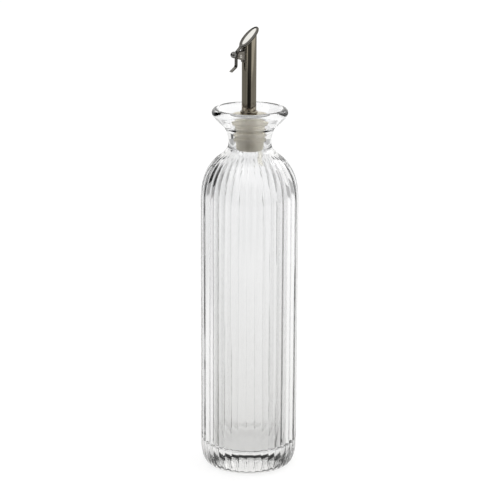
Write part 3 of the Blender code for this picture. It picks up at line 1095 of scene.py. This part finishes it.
@dataclass
class GlassBottle:
    """The ribbed bottle: a straight body under a round shoulder, a narrow neck and a flared mouth.

    A pull is the point, or the height, towards which a curve of the profile is drawn.
    """

    height: float = 245.4
    body_radius: float = 32.5
    neck_radius: float = 14.2
    neck_height: float = 222.0
    rim_radius: float = 25.1
    bead_width: float = 2.6
    bead_height: float = 3.0
    bead_start: float = 118.0
    bead_end: float = -45.0
    flare_pull: Point = (20.2, 233.0)
    throat_pull: float = 235.2
    neck_pull: float = 218.0
    slope_pull: Point = (18.7, 214.9)
    shoulder_join: Point = (22.05, 212.05)
    dome_pull: Point = (29.2, 206.0)
    side_pull: float = 196.5
    shoulder_start: float = 184.0
    heel_height: float = 15.0
    foot_radius: float = 27.0
    rib_count: int = 40
    rib_depth: float = 0.68
    first_valley: float = 3.4
    rib_top_full: float = 205.0
    rib_top_gone: float = 219.0
    rib_foot_full: float = 7.0
    columns_per_rib: int = 12
    wall: float = 3.9
    floor_height: float = 15.0
    floor_corner: float = 4.0
    mouth_pull: Point = (19.9, 243.8)
    waist_pull: Point = (18.6, 238.5)
    funnel_waist: Point = (15.5, 235.8)
    under_waist_pull: Point = (12.8, 233.4)
    bore_pull: float = 232.0
    bore_radius: float = 11.0
    bore_top: float = 229.5
    bore_bottom: float = 218.6
    bore_end_pull: float = 215.6
    vault_top_pull: Point = (15.6, 213.3)
    under_neck: Point = (18.9, 210.7)
    vault_pull: Point = (25.6, 205.2)
    inner_side_pull: float = 195.5

    def outside(self) -> Profile:
        """The outer profile.

        Returns:
            The points from the top of the rim down to the middle of the foot.
        """
        neck, side = self.neck_radius, self.body_radius
        bead = (self.rim_radius - self.bead_width, self.height - self.bead_height)
        points = arc(bead, self.bead_width, self.bead_start, self.bead_end, steps=16, rise=self.bead_height)
        curve_on(points, self.flare_pull, (neck, self.throat_pull), (neck, self.neck_height), steps=20)
        curve_on(points, (neck, self.neck_pull), self.slope_pull, self.shoulder_join, steps=14)
        curve_on(points, self.dome_pull, (side, self.side_pull), (side, self.shoulder_start), steps=20)
        heel = (self.foot_radius, self.heel_height)
        points += arc(heel, side - self.foot_radius, 0.0, -90.0, steps=14, rise=self.heel_height)
        points.append((0.0, 0.0))
        return points

    def inside(self, mouth: Point) -> Profile:
        """The inner profile.

        Args:
            mouth: The last point of the rim, where the hollow starts.

        Returns:
            The points from the rim down to the middle of the floor.
        """
        bore, inner = self.bore_radius, self.body_radius - self.wall
        points = [mouth]
        curve_on(points, self.mouth_pull, self.waist_pull, self.funnel_waist, steps=14)
        curve_on(points, self.under_waist_pull, (bore, self.bore_pull), (bore, self.bore_top), steps=10)
        points.append((bore, self.bore_bottom))
        curve_on(points, (bore, self.bore_end_pull), self.vault_top_pull, self.under_neck, steps=10)
        side_pull = (inner, self.inner_side_pull)
        curve_on(points, self.vault_pull, side_pull, (inner, self.shoulder_start), steps=16)
        corner = (inner - self.floor_corner, self.floor_height + self.floor_corner)
        points += arc(corner, self.floor_corner, 0.0, -90.0, steps=8)
        points.append((0.0, self.floor_height))
        return points

    def press_ribs(self, work: Mesh) -> None:
        """Presses the valleys between the ribs into the outside, fading out at the neck and the foot.

        Args:
            work: The turned outside.
        """
        pitch = 2 * math.pi / self.rib_count
        for vertex in work.verts:
            radius = math.hypot(vertex.co.x, vertex.co.y)
            if radius < self.foot_radius / 3:
                continue
            across = math.atan2(vertex.co.y, vertex.co.x) / pitch
            from_crest = 2 * abs(across - math.floor(across) - 0.5)
            fade = 1 - smoothstep(self.rib_top_full, self.rib_top_gone, vertex.co.z)
            fade *= smoothstep(-self.rib_foot_full / 2, self.rib_foot_full, vertex.co.z)
            wanted = radius - self.rib_depth * from_crest**2 * fade
            vertex.co.x *= wanted / radius
            vertex.co.y *= wanted / radius

    def build(self, glass: Material) -> None:
        """Builds the bottle.

        Args:
            glass: Its finish.
        """
        columns = self.rib_count * self.columns_per_rib
        profile = self.outside()
        outside = turned(profile, columns)
        self.press_ribs(outside)
        work = gathered([outside, turned(self.inside(profile[0]), columns)])
        shift(work, Matrix.Rotation(math.radians(self.first_valley), 4, "Z"))
        Piece("ribbed_glass", "bottle", "clear_glass").finish(work, glass)


@dataclass
class RingedStopper:
    """The milky stopper: a top flange, three soft rings and a narrower plug, bored for the tubes."""

    bottom: float = 217.0
    top: float = 241.2
    flange_radius: float = 11.9
    flange_thickness: float = 3.2
    core_radius: float = 9.6
    plug_radius: float = 9.0
    plug_chamfer: float = 0.7
    plug_step: float = 0.1
    ring_thickness: float = 2.5
    ring_pitch: float = 4.2
    ring_lowest: float = 224.4
    ring_radii: tuple[float, float, float] = (10.6, 10.7, 10.9)
    edge: float = 0.55
    groove_edge: float = 0.2
    bore_radius: float = 5.1
    bore_columns: int = 96
    socket_radius: float = 1.8
    socket_top: float = 226.3
    socket_columns: int = 48
    columns: int = 128

    def profile(self) -> Profile:
        """The outside of the stopper.

        Returns:
            The points from the middle of the top down to the middle of the underside.
        """
        flange_low = self.top - self.flange_thickness
        corners = [
            (0.0, self.top, 0.0),
            (self.flange_radius, self.top, self.edge),
            (self.flange_radius, flange_low, self.edge),
            (self.core_radius, flange_low, self.groove_edge),
        ]
        for number in reversed(range(len(self.ring_radii))):
            radius = self.ring_radii[number]
            low = self.ring_lowest + self.ring_pitch * number
            corners.append((self.core_radius, low + self.ring_thickness, self.groove_edge))
            corners.append((radius, low + self.ring_thickness, self.edge))
            corners.append((radius, low, self.edge))
            if number:
                corners.append((self.core_radius, low, self.groove_edge))
        corners.append((self.plug_radius, self.ring_lowest - self.plug_step, self.groove_edge))
        corners.append((self.plug_radius, self.bottom, self.plug_chamfer))
        corners.append((0.0, self.bottom, 0.0))
        return rounded(corners, steps=3)

    def build(self, plastic: Material) -> None:
        """Builds the stopper.

        Args:
            plastic: Its finish.
        """
        work = turned(self.profile(), self.columns)
        middle = (SPOUT_X, 0.0, (self.top + self.bottom) / 2)
        bore = rod(self.bore_radius, 2 * (self.top - self.bottom), self.bore_columns, middle)
        socket_middle = (*AIR_TUBE_PLACE, self.bottom)
        socket_length = 2 * (self.socket_top - self.bottom)
        socket = rod(self.socket_radius, socket_length, self.socket_columns, socket_middle)
        work = combined(work, [("DIFFERENCE", bore), ("DIFFERENCE", socket)])
        Piece("ringed_stopper", "stopper", "milky_plastic").finish(work, plastic)


@dataclass
class AirTube:
    """The thin tube that lets air in beside the spout's foot."""

    radius: float = 1.5
    bore: float = 0.9
    bottom: float = 206.0
    top: float = 226.0
    edge: float = 0.18
    columns: int = 48

    def build(self, plastic: Material) -> None:
        """Builds the air tube.

        Args:
            plastic: Its finish.
        """
        corners = [
            (self.bore, self.top, 0.0),
            (self.radius, self.top, self.edge),
            (self.radius, self.bottom, self.edge),
            (self.bore, self.bottom, self.edge),
            (self.bore, self.top, 0.0),
        ]
        work = turned(rounded(corners, steps=3)[:-1], self.columns, closed=True)
        shift(work, Matrix.Translation((*AIR_TUBE_PLACE, 0.0)))
        Piece("air_pipe", "air_tube", "pale_tube").finish(work, plastic)


@dataclass
class SpoutTube:
    """The steel pouring tube with a collar at its foot and a mouth cut on the slant."""

    radius: float = 4.8
    wall: float = 0.7
    bottom: float = 217.0
    foot_edge: float = 0.1
    collar_radius: float = 5.7
    collar_low: float = 241.5
    collar_high: float = 243.7
    collar_edge: float = 0.45
    collar_root: float = 0.15
    lip: float = 0.16
    lip_from: float = 30.0
    columns: int = 128

    def build(self, steel: Material) -> None:
        """Builds the tube.

        Args:
            steel: Its finish.
        """
        bore = self.radius - self.wall
        blank_top = SPOUT_MOUTH_HEIGHT + 2 * self.radius
        corners = [
            (self.radius, blank_top, 0.0),
            (self.radius, self.collar_high, self.collar_root),
            (self.collar_radius, self.collar_high, self.collar_edge),
            (self.collar_radius, self.collar_low, self.collar_edge / 2),
            (self.radius, self.collar_low, 0.0),
            (self.radius, self.bottom, self.foot_edge),
            (bore, self.bottom, self.foot_edge),
            (bore, blank_top, 0.0),
        ]
        work = turned(rounded(corners), self.columns)
        facing = (-math.sin(SPOUT_SLANT), 0.0, math.cos(SPOUT_SLANT))
        rims = slice_off(work, (0.0, 0.0, SPOUT_MOUTH_HEIGHT), facing)
        faces = bmesh.ops.bridge_loops(work, edges=rims)["faces"]
        least = math.radians(self.lip_from)
        lips = [edge for face in faces for edge in face.edges if edge.calc_face_angle(0.0) > least]
        bevel(work, list(dict.fromkeys(lips)), self.lip, segments=3)
        shift(work, Matrix.Translation((SPOUT_X, 0.0, 0.0)))
        Piece("pouring_tube", "spout_tube", "spout_steel").finish(work, steel)


@dataclass
class Hinge:
    """The sheet saddle on the tube with its two ears, and the rivet through them."""

    pin_radius: float = 0.75
    head_radius: float = 1.1
    head_thickness: float = 0.5
    head_dome: float = 0.35
    head_edge: float = 0.06
    head_gap: float = 0.15
    rivet_columns: int = 48
    saddle_inner: float = 4.95
    saddle_steps: int = 16
    sheet: float = 0.5
    half_width: float = 2.3
    low: float = 276.2
    high: float = 285.6
    ear_sheet: float = 0.55
    ear_low: float = 278.1
    ear_high: float = 283.4
    ear_reach: float = 9.9
    ear_corner: float = 2.6
    ear_inset: float = 0.02
    root_reach: float = 4.75
    root_flare: float = 1.0
    softness: float = 0.1

    def saddle(self) -> Mesh:
        """The curved sheet that lies against the tube.

        Returns:
            The saddle, measured from the tube's axis.
        """
        inner, outer = self.saddle_inner, self.saddle_inner + self.sheet
        half_turn = math.asin((self.half_width - self.softness / 4) / outer)
        work = bmesh.new()
        corners = ((inner, self.low), (outer, self.low), (outer, self.high), (inner, self.high))
        fill_ring(work, [(radius, 0.0, height) for radius, height in corners])
        shift(work, Matrix.Rotation(math.pi - half_turn, 4, "Z"))
        spin(work, whole(work), 2 * half_turn, self.saddle_steps)
        bmesh.ops.recalc_face_normals(work, faces=work.faces)
        soften(work, self.softness)
        return work

    def ear(self, side: int) -> Mesh:
        """A flat ear with round corners, flared where it grows out of the saddle.

        Args:
            side: -1 or 1 along Y.

        Returns:
            The ear in its place.
        """
        low, high = self.ear_low, self.ear_high
        root = -self.root_reach
        start = root - self.root_flare
        corner_x = self.ear_corner - self.ear_reach
        outline = [(root, high + self.root_flare)]
        curve_on(outline, (root, high), (root, high), (start, high), steps=4)
        outline += arc((corner_x, high - self.ear_corner), self.ear_corner, 90.0, 180.0, steps=8)
        outline += arc((corner_x, low + self.ear_corner), self.ear_corner, 180.0, 270.0, steps=8)
        outline.append((start, low))
        curve_on(outline, (root, low), (root, low), (root, low - self.root_flare), steps=4)
        work = outline_plate(outline, self.ear_sheet / 2)
        soften(work, self.softness, from_angle=60.0)
        middle = self.half_width - self.ear_inset - self.ear_sheet / 2
        return shift(work, Matrix.Translation((0.0, side * middle, 0.0)))

    def rivet_profile(self) -> Profile:
        """The outside of the rivet.

        Returns:
            The points from the middle of one domed head to the middle of the other.
        """
        shank_end = self.half_width + self.head_gap
        head_end = shank_end + self.head_thickness
        corners = [
            (0.0, head_end, 0.0),
            (self.head_radius, head_end, self.head_dome),
            (self.head_radius, shank_end, self.head_edge),
            (self.pin_radius, shank_end, 0.0),
            (self.pin_radius, 0.0, 0.0),
        ]
        half = rounded(corners)[:-1]
        return half + [(radius, -along) for radius, along in reversed(half)]

    def build(self, saddle_steel: Material, rivet_steel: Material) -> None:
        """Builds the saddle and the rivet.

        Args:
            saddle_steel: The saddle's finish.
            rivet_steel: The rivet's finish.
        """
        steps = [("UNION", self.ear(-1)), ("UNION", self.ear(1)), ("DIFFERENCE", pin_drill())]
        work = combined(self.saddle(), steps)
        shift(work, Matrix.Translation((SPOUT_X, 0.0, 0.0)))
        Piece("hinge_saddle", "hinge_bracket", "bracket_steel", even_shade=True).finish(work, saddle_steel)

        rivet = turned(self.rivet_profile(), self.rivet_columns)
        shift(rivet, Matrix.Rotation(RIGHT_ANGLE, 4, "X"))
        shift(rivet, Matrix.Translation((SPOUT_X - PIN_REACH, 0.0, PIN_HEIGHT)))
        Piece("hinge_rivet", "hinge_pin", "pin_steel").finish(rivet, rivet_steel)


@dataclass
class SwingLid:
    """The stamped lid: an oval dished plate, an arm strip with a kicked tail, and two cheeks at the pin."""

    gap: float = 0.12
    sheet: float = 0.8
    plan_radius: float = 6.2
    rim_width: float = 1.1
    dish_wall: float = 0.35
    dish_depth: float = 0.3
    bead_reach: float = 0.48
    bead_from: float = 25.0
    columns: int = 160
    arm_sheet: float = 0.7
    arm_half_width: float = 1.6
    arm_reach: float = 9.75
    arm_root_reach: float = 5.75
    web_sheet: float = 0.6
    web_on_plate: Point = (7.0, 3.4)
    web_plate_pull: Point = (8.3, 2.3)
    web_arm_pull: float = 9.4
    web_middle: float = 8.3
    web_on_arm: float = 11.2
    tail_bend_height: float = 273.5
    tail_end: Point = (-13.8, 270.4)
    bend_radius: float = 1.3
    cheek_sheet: float = 0.55
    cheek_margin: float = 0.05
    cheek_end: float = 1.8
    cheek_end_turn: float = 75.0
    cheek_half_height: float = 2.1
    softness: float = 0.14

    def plate_middle(self) -> float:
        """The height of the plate's middle plane on the tube's axis."""
        return SPOUT_MOUTH_HEIGHT + (self.gap + self.sheet / 2) / math.cos(SPOUT_SLANT)

    def lean(self) -> Matrix:
        """Turns a flat sheet into the plane of the slanted mouth."""
        return Matrix.Rotation(-SPOUT_SLANT, 4, "Y")

    def plate(self) -> Mesh:
        """The oval plate with its raised rim and its shallow dish.

        Returns:
            The plate in its place.
        """
        work = bmesh.new()
        long_way = 1 / math.cos(SPOUT_SLANT)
        bmesh.ops.create_circle(work, cap_ends=True, segments=self.columns, radius=self.plan_radius)
        bmesh.ops.scale(work, vec=(long_way, 1.0, 1.0), verts=work.verts)
        lifted = raise_face(work, list(work.faces), (0.0, 0.0, self.sheet))
        top = only(bmesh.types.BMFace, lifted)[0]
        for width, sink in ((self.rim_width, 0.0), (self.dish_wall, self.dish_depth)):
            bmesh.ops.inset_region(work, faces=[top], thickness=width, depth=-sink, use_even_offset=True)
        bmesh.ops.recalc_face_normals(work, faces=work.faces)
        self.round_rim(work)
        lift = SPOUT_MOUTH_HEIGHT + self.gap / math.cos(SPOUT_SLANT)
        return shift(work, Matrix.Translation((0.0, 0.0, lift)) @ self.lean())

    def round_rim(self, work: Mesh) -> None:
        """Rolls the plate's raised rim into a bead and softens its other edges.

        Args:
            work: The flat plate, before it is leaned.
        """
        crests = []
        for edge in work.edges:
            on_top = min(vertex.co.z for vertex in edge.verts) > self.sheet - MERGE
            if on_top and edge.calc_face_angle(0.0) > math.radians(self.bead_from):
                crests.append(edge)
        bevel(work, crests, self.bead_reach, segments=6)
        soften(work, self.softness, segments=3, from_angle=50.0)

    def arm(self) -> Mesh:
        """The strip from under the plate's rim down past the pin to the kicked tail.

        Returns:
            The arm in its place.
        """
        slope = math.tan(SPOUT_SLANT)
        middle = self.plate_middle()
        corners = [
            (-self.arm_root_reach, middle - self.arm_root_reach * slope, 0.0),
            (-self.arm_reach, middle - self.arm_reach * slope, self.bend_radius),
            (-self.arm_reach, self.tail_bend_height, self.bend_radius),
            (*self.tail_end, 0.0),
        ]
        path = rounded(corners, steps=8)
        work = outline_plate(strip_outline(path, self.arm_sheet / 2), self.arm_half_width)
        soften(work, self.softness, from_angle=60.0)
        return work

    def web(self) -> Mesh:
        """The flat sheet that widens the arm into the plate's rim.

        Returns:
            The web in its place.
        """
        arm_half = self.arm_half_width - self.cheek_margin
        side = [self.web_on_plate]
        arm_end = (self.web_on_arm, arm_half)
        curve_on(side, self.web_plate_pull, (self.web_arm_pull, arm_half), arm_end, steps=10)
        outline = [(-along, across) for along, across in side]
        outline += [(-along, -across) for along, across in reversed(side)]
        outline.append((-self.web_middle, 0.0))
        work = outline_plate(outline, self.web_sheet / 2)
        shift(work, Matrix.Rotation(RIGHT_ANGLE, 4, "X"))
        soften(work, self.softness / 2, from_angle=60.0)
        return shift(work, Matrix.Translation((0.0, 0.0, self.plate_middle())) @ self.lean())

    def cheek(self, side: int) -> Mesh:
        """A side of the arm folded in towards the pin, round at its end.

        Args:
            side: -1 or 1 along Y.

        Returns:
            The cheek in its place.
        """
        arm_side = PIN_REACH - self.arm_reach
        turn = self.cheek_end_turn
        outline = [(arm_side, self.cheek_half_height)]
        outline += arc((0.0, 0.0), self.cheek_end, turn, -turn, steps=20)
        outline.append((arm_side, -self.cheek_half_height))
        work = outline_plate(outline, self.cheek_sheet / 2)
        soften(work, self.softness / 2, from_angle=60.0)
        reach = self.arm_half_width - self.cheek_margin - self.cheek_sheet / 2
        return shift(work, Matrix.Translation((-PIN_REACH, side * reach, PIN_HEIGHT)))

    def build(self, steel: Material) -> None:
        """Builds the lid.

        Args:
            steel: Its finish.
        """
        steps = [("UNION", part) for part in (self.arm(), self.web(), self.cheek(-1), self.cheek(1))]
        work = combined(self.plate(), [*steps, ("DIFFERENCE", pin_drill())])
        shift(work, Matrix.Translation((SPOUT_X, 0.0, 0.0)))
        Piece("swing_lid", "lid_flap", "lid_steel", Body.LID, even_shade=True).finish(work, steel)


@dataclass
class RoundWeight:
    """The round weight on the arm's outer side, flat where it meets the strip."""

    radius: float = 2.2
    reach: float = 11.5
    height: float = 281.4
    flat_reach: float = 1.25
    edge: float = 0.12
    columns: int = 48

    def build(self, steel: Material) -> None:
        """Builds the weight.

        Args:
            steel: Its finish.
        """
        work = bmesh.new()
        bmesh.ops.create_uvsphere(
            work, u_segments=self.columns, v_segments=self.columns // 2, radius=self.radius
        )
        rim = slice_off(work, (self.flat_reach, 0.0, 0.0), (1.0, 0.0, 0.0))
        bmesh.ops.edgeloop_fill(work, edges=rim)
        bmesh.ops.recalc_face_normals(work, faces=work.faces)
        soften(work, self.edge, from_angle=25.0)
        shift(work, Matrix.Translation((SPOUT_X - self.reach, 0.0, self.height)))
        Piece("lid_weight", "counterweight", "weight_steel", Body.LID).finish(work, steel)


# Studio


@dataclass(frozen=True)
class Softbox:
    """A soft light that faces the cruet.

    Attributes:
        name: Its name.
        place: Where it hangs.
        size: Its width and height.
        watts: Its power.
        aim: What it faces.
    """

    name: str
    place: Place
    size: Point
    watts: float
    aim: Place = (0.0, 0.0, 0.15)

    def hang(self) -> None:
        """Hangs the light."""
        data = bpy.data.lights.new(self.name, "AREA")
        data.shape = "RECTANGLE"
        data.size, data.size_y = self.size
        data.energy = self.watts
        light = bpy.data.objects.new(self.name, data)
        light.location = self.place
        towards = Vector(self.aim) - Vector(self.place)
        light.rotation_euler = towards.to_track_quat("-Z", "Y").to_euler()
        bpy.context.scene.collection.objects.link(light)


@dataclass
class Studio:
    """A pale floor under soft light: bright behind the cruet, calmer at the sides and in front.

    Attributes:
        behind: The way from the cruet to what is behind it, along the floor.
        beside: The way to what is at its right.
        floor_side: Half the floor's side.
        floor_drop: How far the floor lies under the foot.
        floor_glow: How brightly the floor is lit from within.
        floor_white: How much of the other light it returns.
        bright_half: Half the width of its bright part at the cruet.
        bright_spread: How much wider that gets with each metre behind.
        bright_front: How far it reaches in front of the cruet.
        fade: Where the bright part's edge starts and ends.
        middle: Where the left share turns into the right one.
        left_share: The floor's tone outside the bright part, on the left.
        right_share: The same on the right.
        far: The distances between which the floor turns to its far tone.
        far_share: The share of its tone that it keeps there.
        dark_front: The distances in front between which a dark sector begins.
        dark_spread: That sector's half width for each metre.
        dark_edge: Half the width of its soft edge.
        dark_share: The share of its tone that the floor keeps in it.
        sky_colour: The surrounding light's colour.
        sky_light: Its strength.
        sky_left: Its strength at the far left.
        left_edge: Where the far left ends, as a share of the whole way to the right.
        sky_front: Its strength in front of the cruet.
        front_edge: Where the front ends, as a share of the whole way behind.
        softboxes: The lights.
    """

    behind: Place = (0.5, 0.866, 0.0)
    beside: Place = (0.866, -0.5, 0.0)
    floor_side: float = 9.0
    floor_drop: float = 0.0002
    floor_glow: float = 0.78
    floor_white: float = 0.3
    bright_half: float = 0.172
    bright_spread: float = 0.125
    bright_front: float = 0.09
    fade: Point = (0.02, 0.2)
    middle: Point = (-0.1, 0.1)
    left_share: float = 0.8
    right_share: float = 1.0
    far: Point = (1.0, 1.25)
    far_share: float = 0.45
    dark_front: Point = (0.5, 0.68)
    dark_spread: float = 0.5
    dark_edge: float = 0.1
    dark_share: float = 0.08
    sky_colour: Colour = (1.0, 0.995, 0.985)
    sky_light: float = 1.0
    sky_left: float = 0.0
    left_edge: Point = (-0.72, -0.58)
    sky_front: float = 0.1
    front_edge: Point = (-0.93, -0.8)
    softboxes: tuple[Softbox, ...] = (
        Softbox("key_softbox", place=(-1.1, 0.2, 1.3), size=(0.7, 0.9), watts=3.5),
        Softbox("fill_softbox", place=(1.2, 0.3, 1.0), size=(0.5, 0.9), watts=2.1),
    )

    def calm_tone(self, sheet: NodeSheet, place: Socket, along: Socket, across: Socket) -> Socket:
        """The floor's tone outside its bright part.

        Args:
            sheet: The floor's nodes.
            place: Its coordinates.
            along: How far they are behind the cruet.
            across: How far they are to its right.

        Returns:
            1 in the bright part, and the calmer tone elsewhere.
        """
        half_width = sheet.total(sheet.product(along, self.bright_spread), self.bright_half)
        aside = sheet.less(sheet.maths("ABSOLUTE", across), half_width)
        before = sheet.less(sheet.product(along, -1.0), self.bright_front)
        unseen = sheet.span(sheet.maths("MAXIMUM", aside, before), self.fade)
        share = sheet.span(across, self.middle, self.left_share, self.right_share)
        distance = sheet.add("VectorMath", {0: place}, operation="LENGTH").outputs["Value"]
        share = sheet.product(share, sheet.span(distance, self.far, 1.0, self.far_share))
        return sheet.less(1.0, sheet.product(unseen, sheet.less(1.0, share)))

    def dark_sector(self, sheet: NodeSheet, along: Socket, across: Socket) -> Socket:
        """How much the floor is darkened in front, which steel and ribs mirror as dark lines.

        Args:
            sheet: The floor's nodes.
            along: How far the floor is behind the cruet.
            across: How far it is to its right.

        Returns:
            The share of tone that is taken away.
        """
        start, end = self.dark_front
        ahead = sheet.span(along, (-end, -start), 1.0, 0.0)
        outside = sheet.total(sheet.maths("ABSOLUTE", across), sheet.product(along, self.dark_spread))
        centred = sheet.span(outside, (-self.dark_edge, self.dark_edge), 1.0, 0.0)
        return sheet.product(sheet.product(ahead, centred), 1.0 - self.dark_share)

    def floor_material(self) -> Material:
        """White near the cruet and behind it, and a soft grey elsewhere.

        Returns:
            The material.
        """
        made, sheet, shader = new_material("pale_floor")
        place = sheet.place()
        along, across = sheet.reach(place, self.behind), sheet.reach(place, self.beside)
        calm = self.calm_tone(sheet, place, along, across)
        tone = sheet.product(calm, sheet.less(1.0, self.dark_sector(sheet, along, across)))
        colour = sheet.add("CombineColor", {0: tone, 1: tone, 2: tone}).outputs[0]
        finish = {
            "Base Color": sheet.blend(1.0 - self.floor_white, colour, BLACK),
            "Emission Color": colour,
            "Emission Strength": self.floor_glow,
            "Roughness": 0.9,
            "Specular IOR Level": 0.0,
        }
        sheet.fill(shader, finish)
        return made

    def floor(self) -> None:
        """Lays the floor."""
        work = bmesh.new()
        bmesh.ops.create_grid(work, x_segments=1, y_segments=1, size=self.floor_side)
        mesh = bpy.data.meshes.new("pale_floor")
        work.to_mesh(mesh)
        work.free()
        mesh.transform(Matrix.Translation((0.0, 0.0, -self.floor_drop)))
        mesh.materials.append(self.floor_material())
        floor = bpy.data.objects.new("pale_floor", mesh)
        bpy.context.scene.collection.objects.link(floor)

    def sky(self) -> None:
        """Surrounds the scene with soft light, bright behind the cruet."""
        world = bpy.data.worlds.new("soft_surround")
        world.use_nodes = True
        bpy.context.scene.world = world
        sheet = NodeSheet(world.node_tree)
        way = sheet.add("TexCoord").outputs["Generated"]
        left = sheet.span(sheet.reach(way, self.beside), self.left_edge, self.sky_left, self.sky_light)
        front = sheet.span(sheet.reach(way, self.behind), self.front_edge, self.sky_front, self.sky_light)
        light = {"Color": (*self.sky_colour, 1.0), "Strength": sheet.maths("MINIMUM", left, front)}
        sheet.fill(world.node_tree.nodes["Background"], light)

    def build(self) -> None:
        """Sets the stage."""
        self.floor()
        self.sky()
        for softbox in self.softboxes:
            softbox.hang()
        view = bpy.context.scene.view_settings
        view.view_transform = "Standard"
        view.look = "None"


@dataclass
class PhotoCamera:
    """The camera at the photograph's angle, with sizes in millimetres and pixels, and angles in degrees."""

    distance: float = 1241.2
    height: float = 494.0
    bearing: float = -30.0
    pitch: float = 15.53
    roll: float = 0.278
    focal_pixels: float = 1932.0
    picture_width: float = 500.0
    middle_pixel: float = 249.33
    sensor: float = 36.0
    nearest: float = 50.0
    farthest: float = 60000.0

    def build(self) -> None:
        """Places the camera."""
        data = bpy.data.cameras.new("photo_camera")
        data.sensor_width = self.sensor
        data.lens = self.focal_pixels / self.picture_width * self.sensor
        data.shift_x = (self.picture_width / 2 - self.middle_pixel) / self.picture_width
        data.clip_start = self.nearest * MM
        data.clip_end = self.farthest * MM
        camera = bpy.data.objects.new("photo_camera", data)
        turn = math.radians(self.bearing)
        place = Vector((math.sin(turn) * self.distance, -math.cos(turn) * self.distance, self.height)) * MM
        camera.matrix_world = (
            Matrix.Translation(place)
            @ Matrix.Rotation(turn, 4, "Z")
            @ Matrix.Rotation(RIGHT_ANGLE - math.radians(self.pitch), 4, "X")
            @ Matrix.Rotation(math.radians(self.roll), 4, "Z")
        )
        bpy.context.scene.collection.objects.link(camera)
        bpy.context.scene.camera = camera


def main() -> None:
    """Builds the cruet piece by piece, then the studio and the camera."""
    logging.basicConfig(level=logging.INFO, format="%(message)s")
    effects = SharedEffects()
    GlassBottle().build(ClearGlass().material(effects))
    RingedStopper().build(STOPPER_PLASTIC.material(effects))
    AirTube().build(AIR_TUBE_PLASTIC.material(effects))
    SpoutTube().build(SPOUT_STEEL.material(effects))
    Hinge().build(SADDLE_STEEL.material(effects), RIVET_STEEL.material(effects))
    SwingLid().build(LID_STEEL.material(effects))
    RoundWeight().build(WEIGHT_STEEL.material(effects))
    Studio().build()
    PhotoCamera().build()


if __name__ == "__main__":
    main()
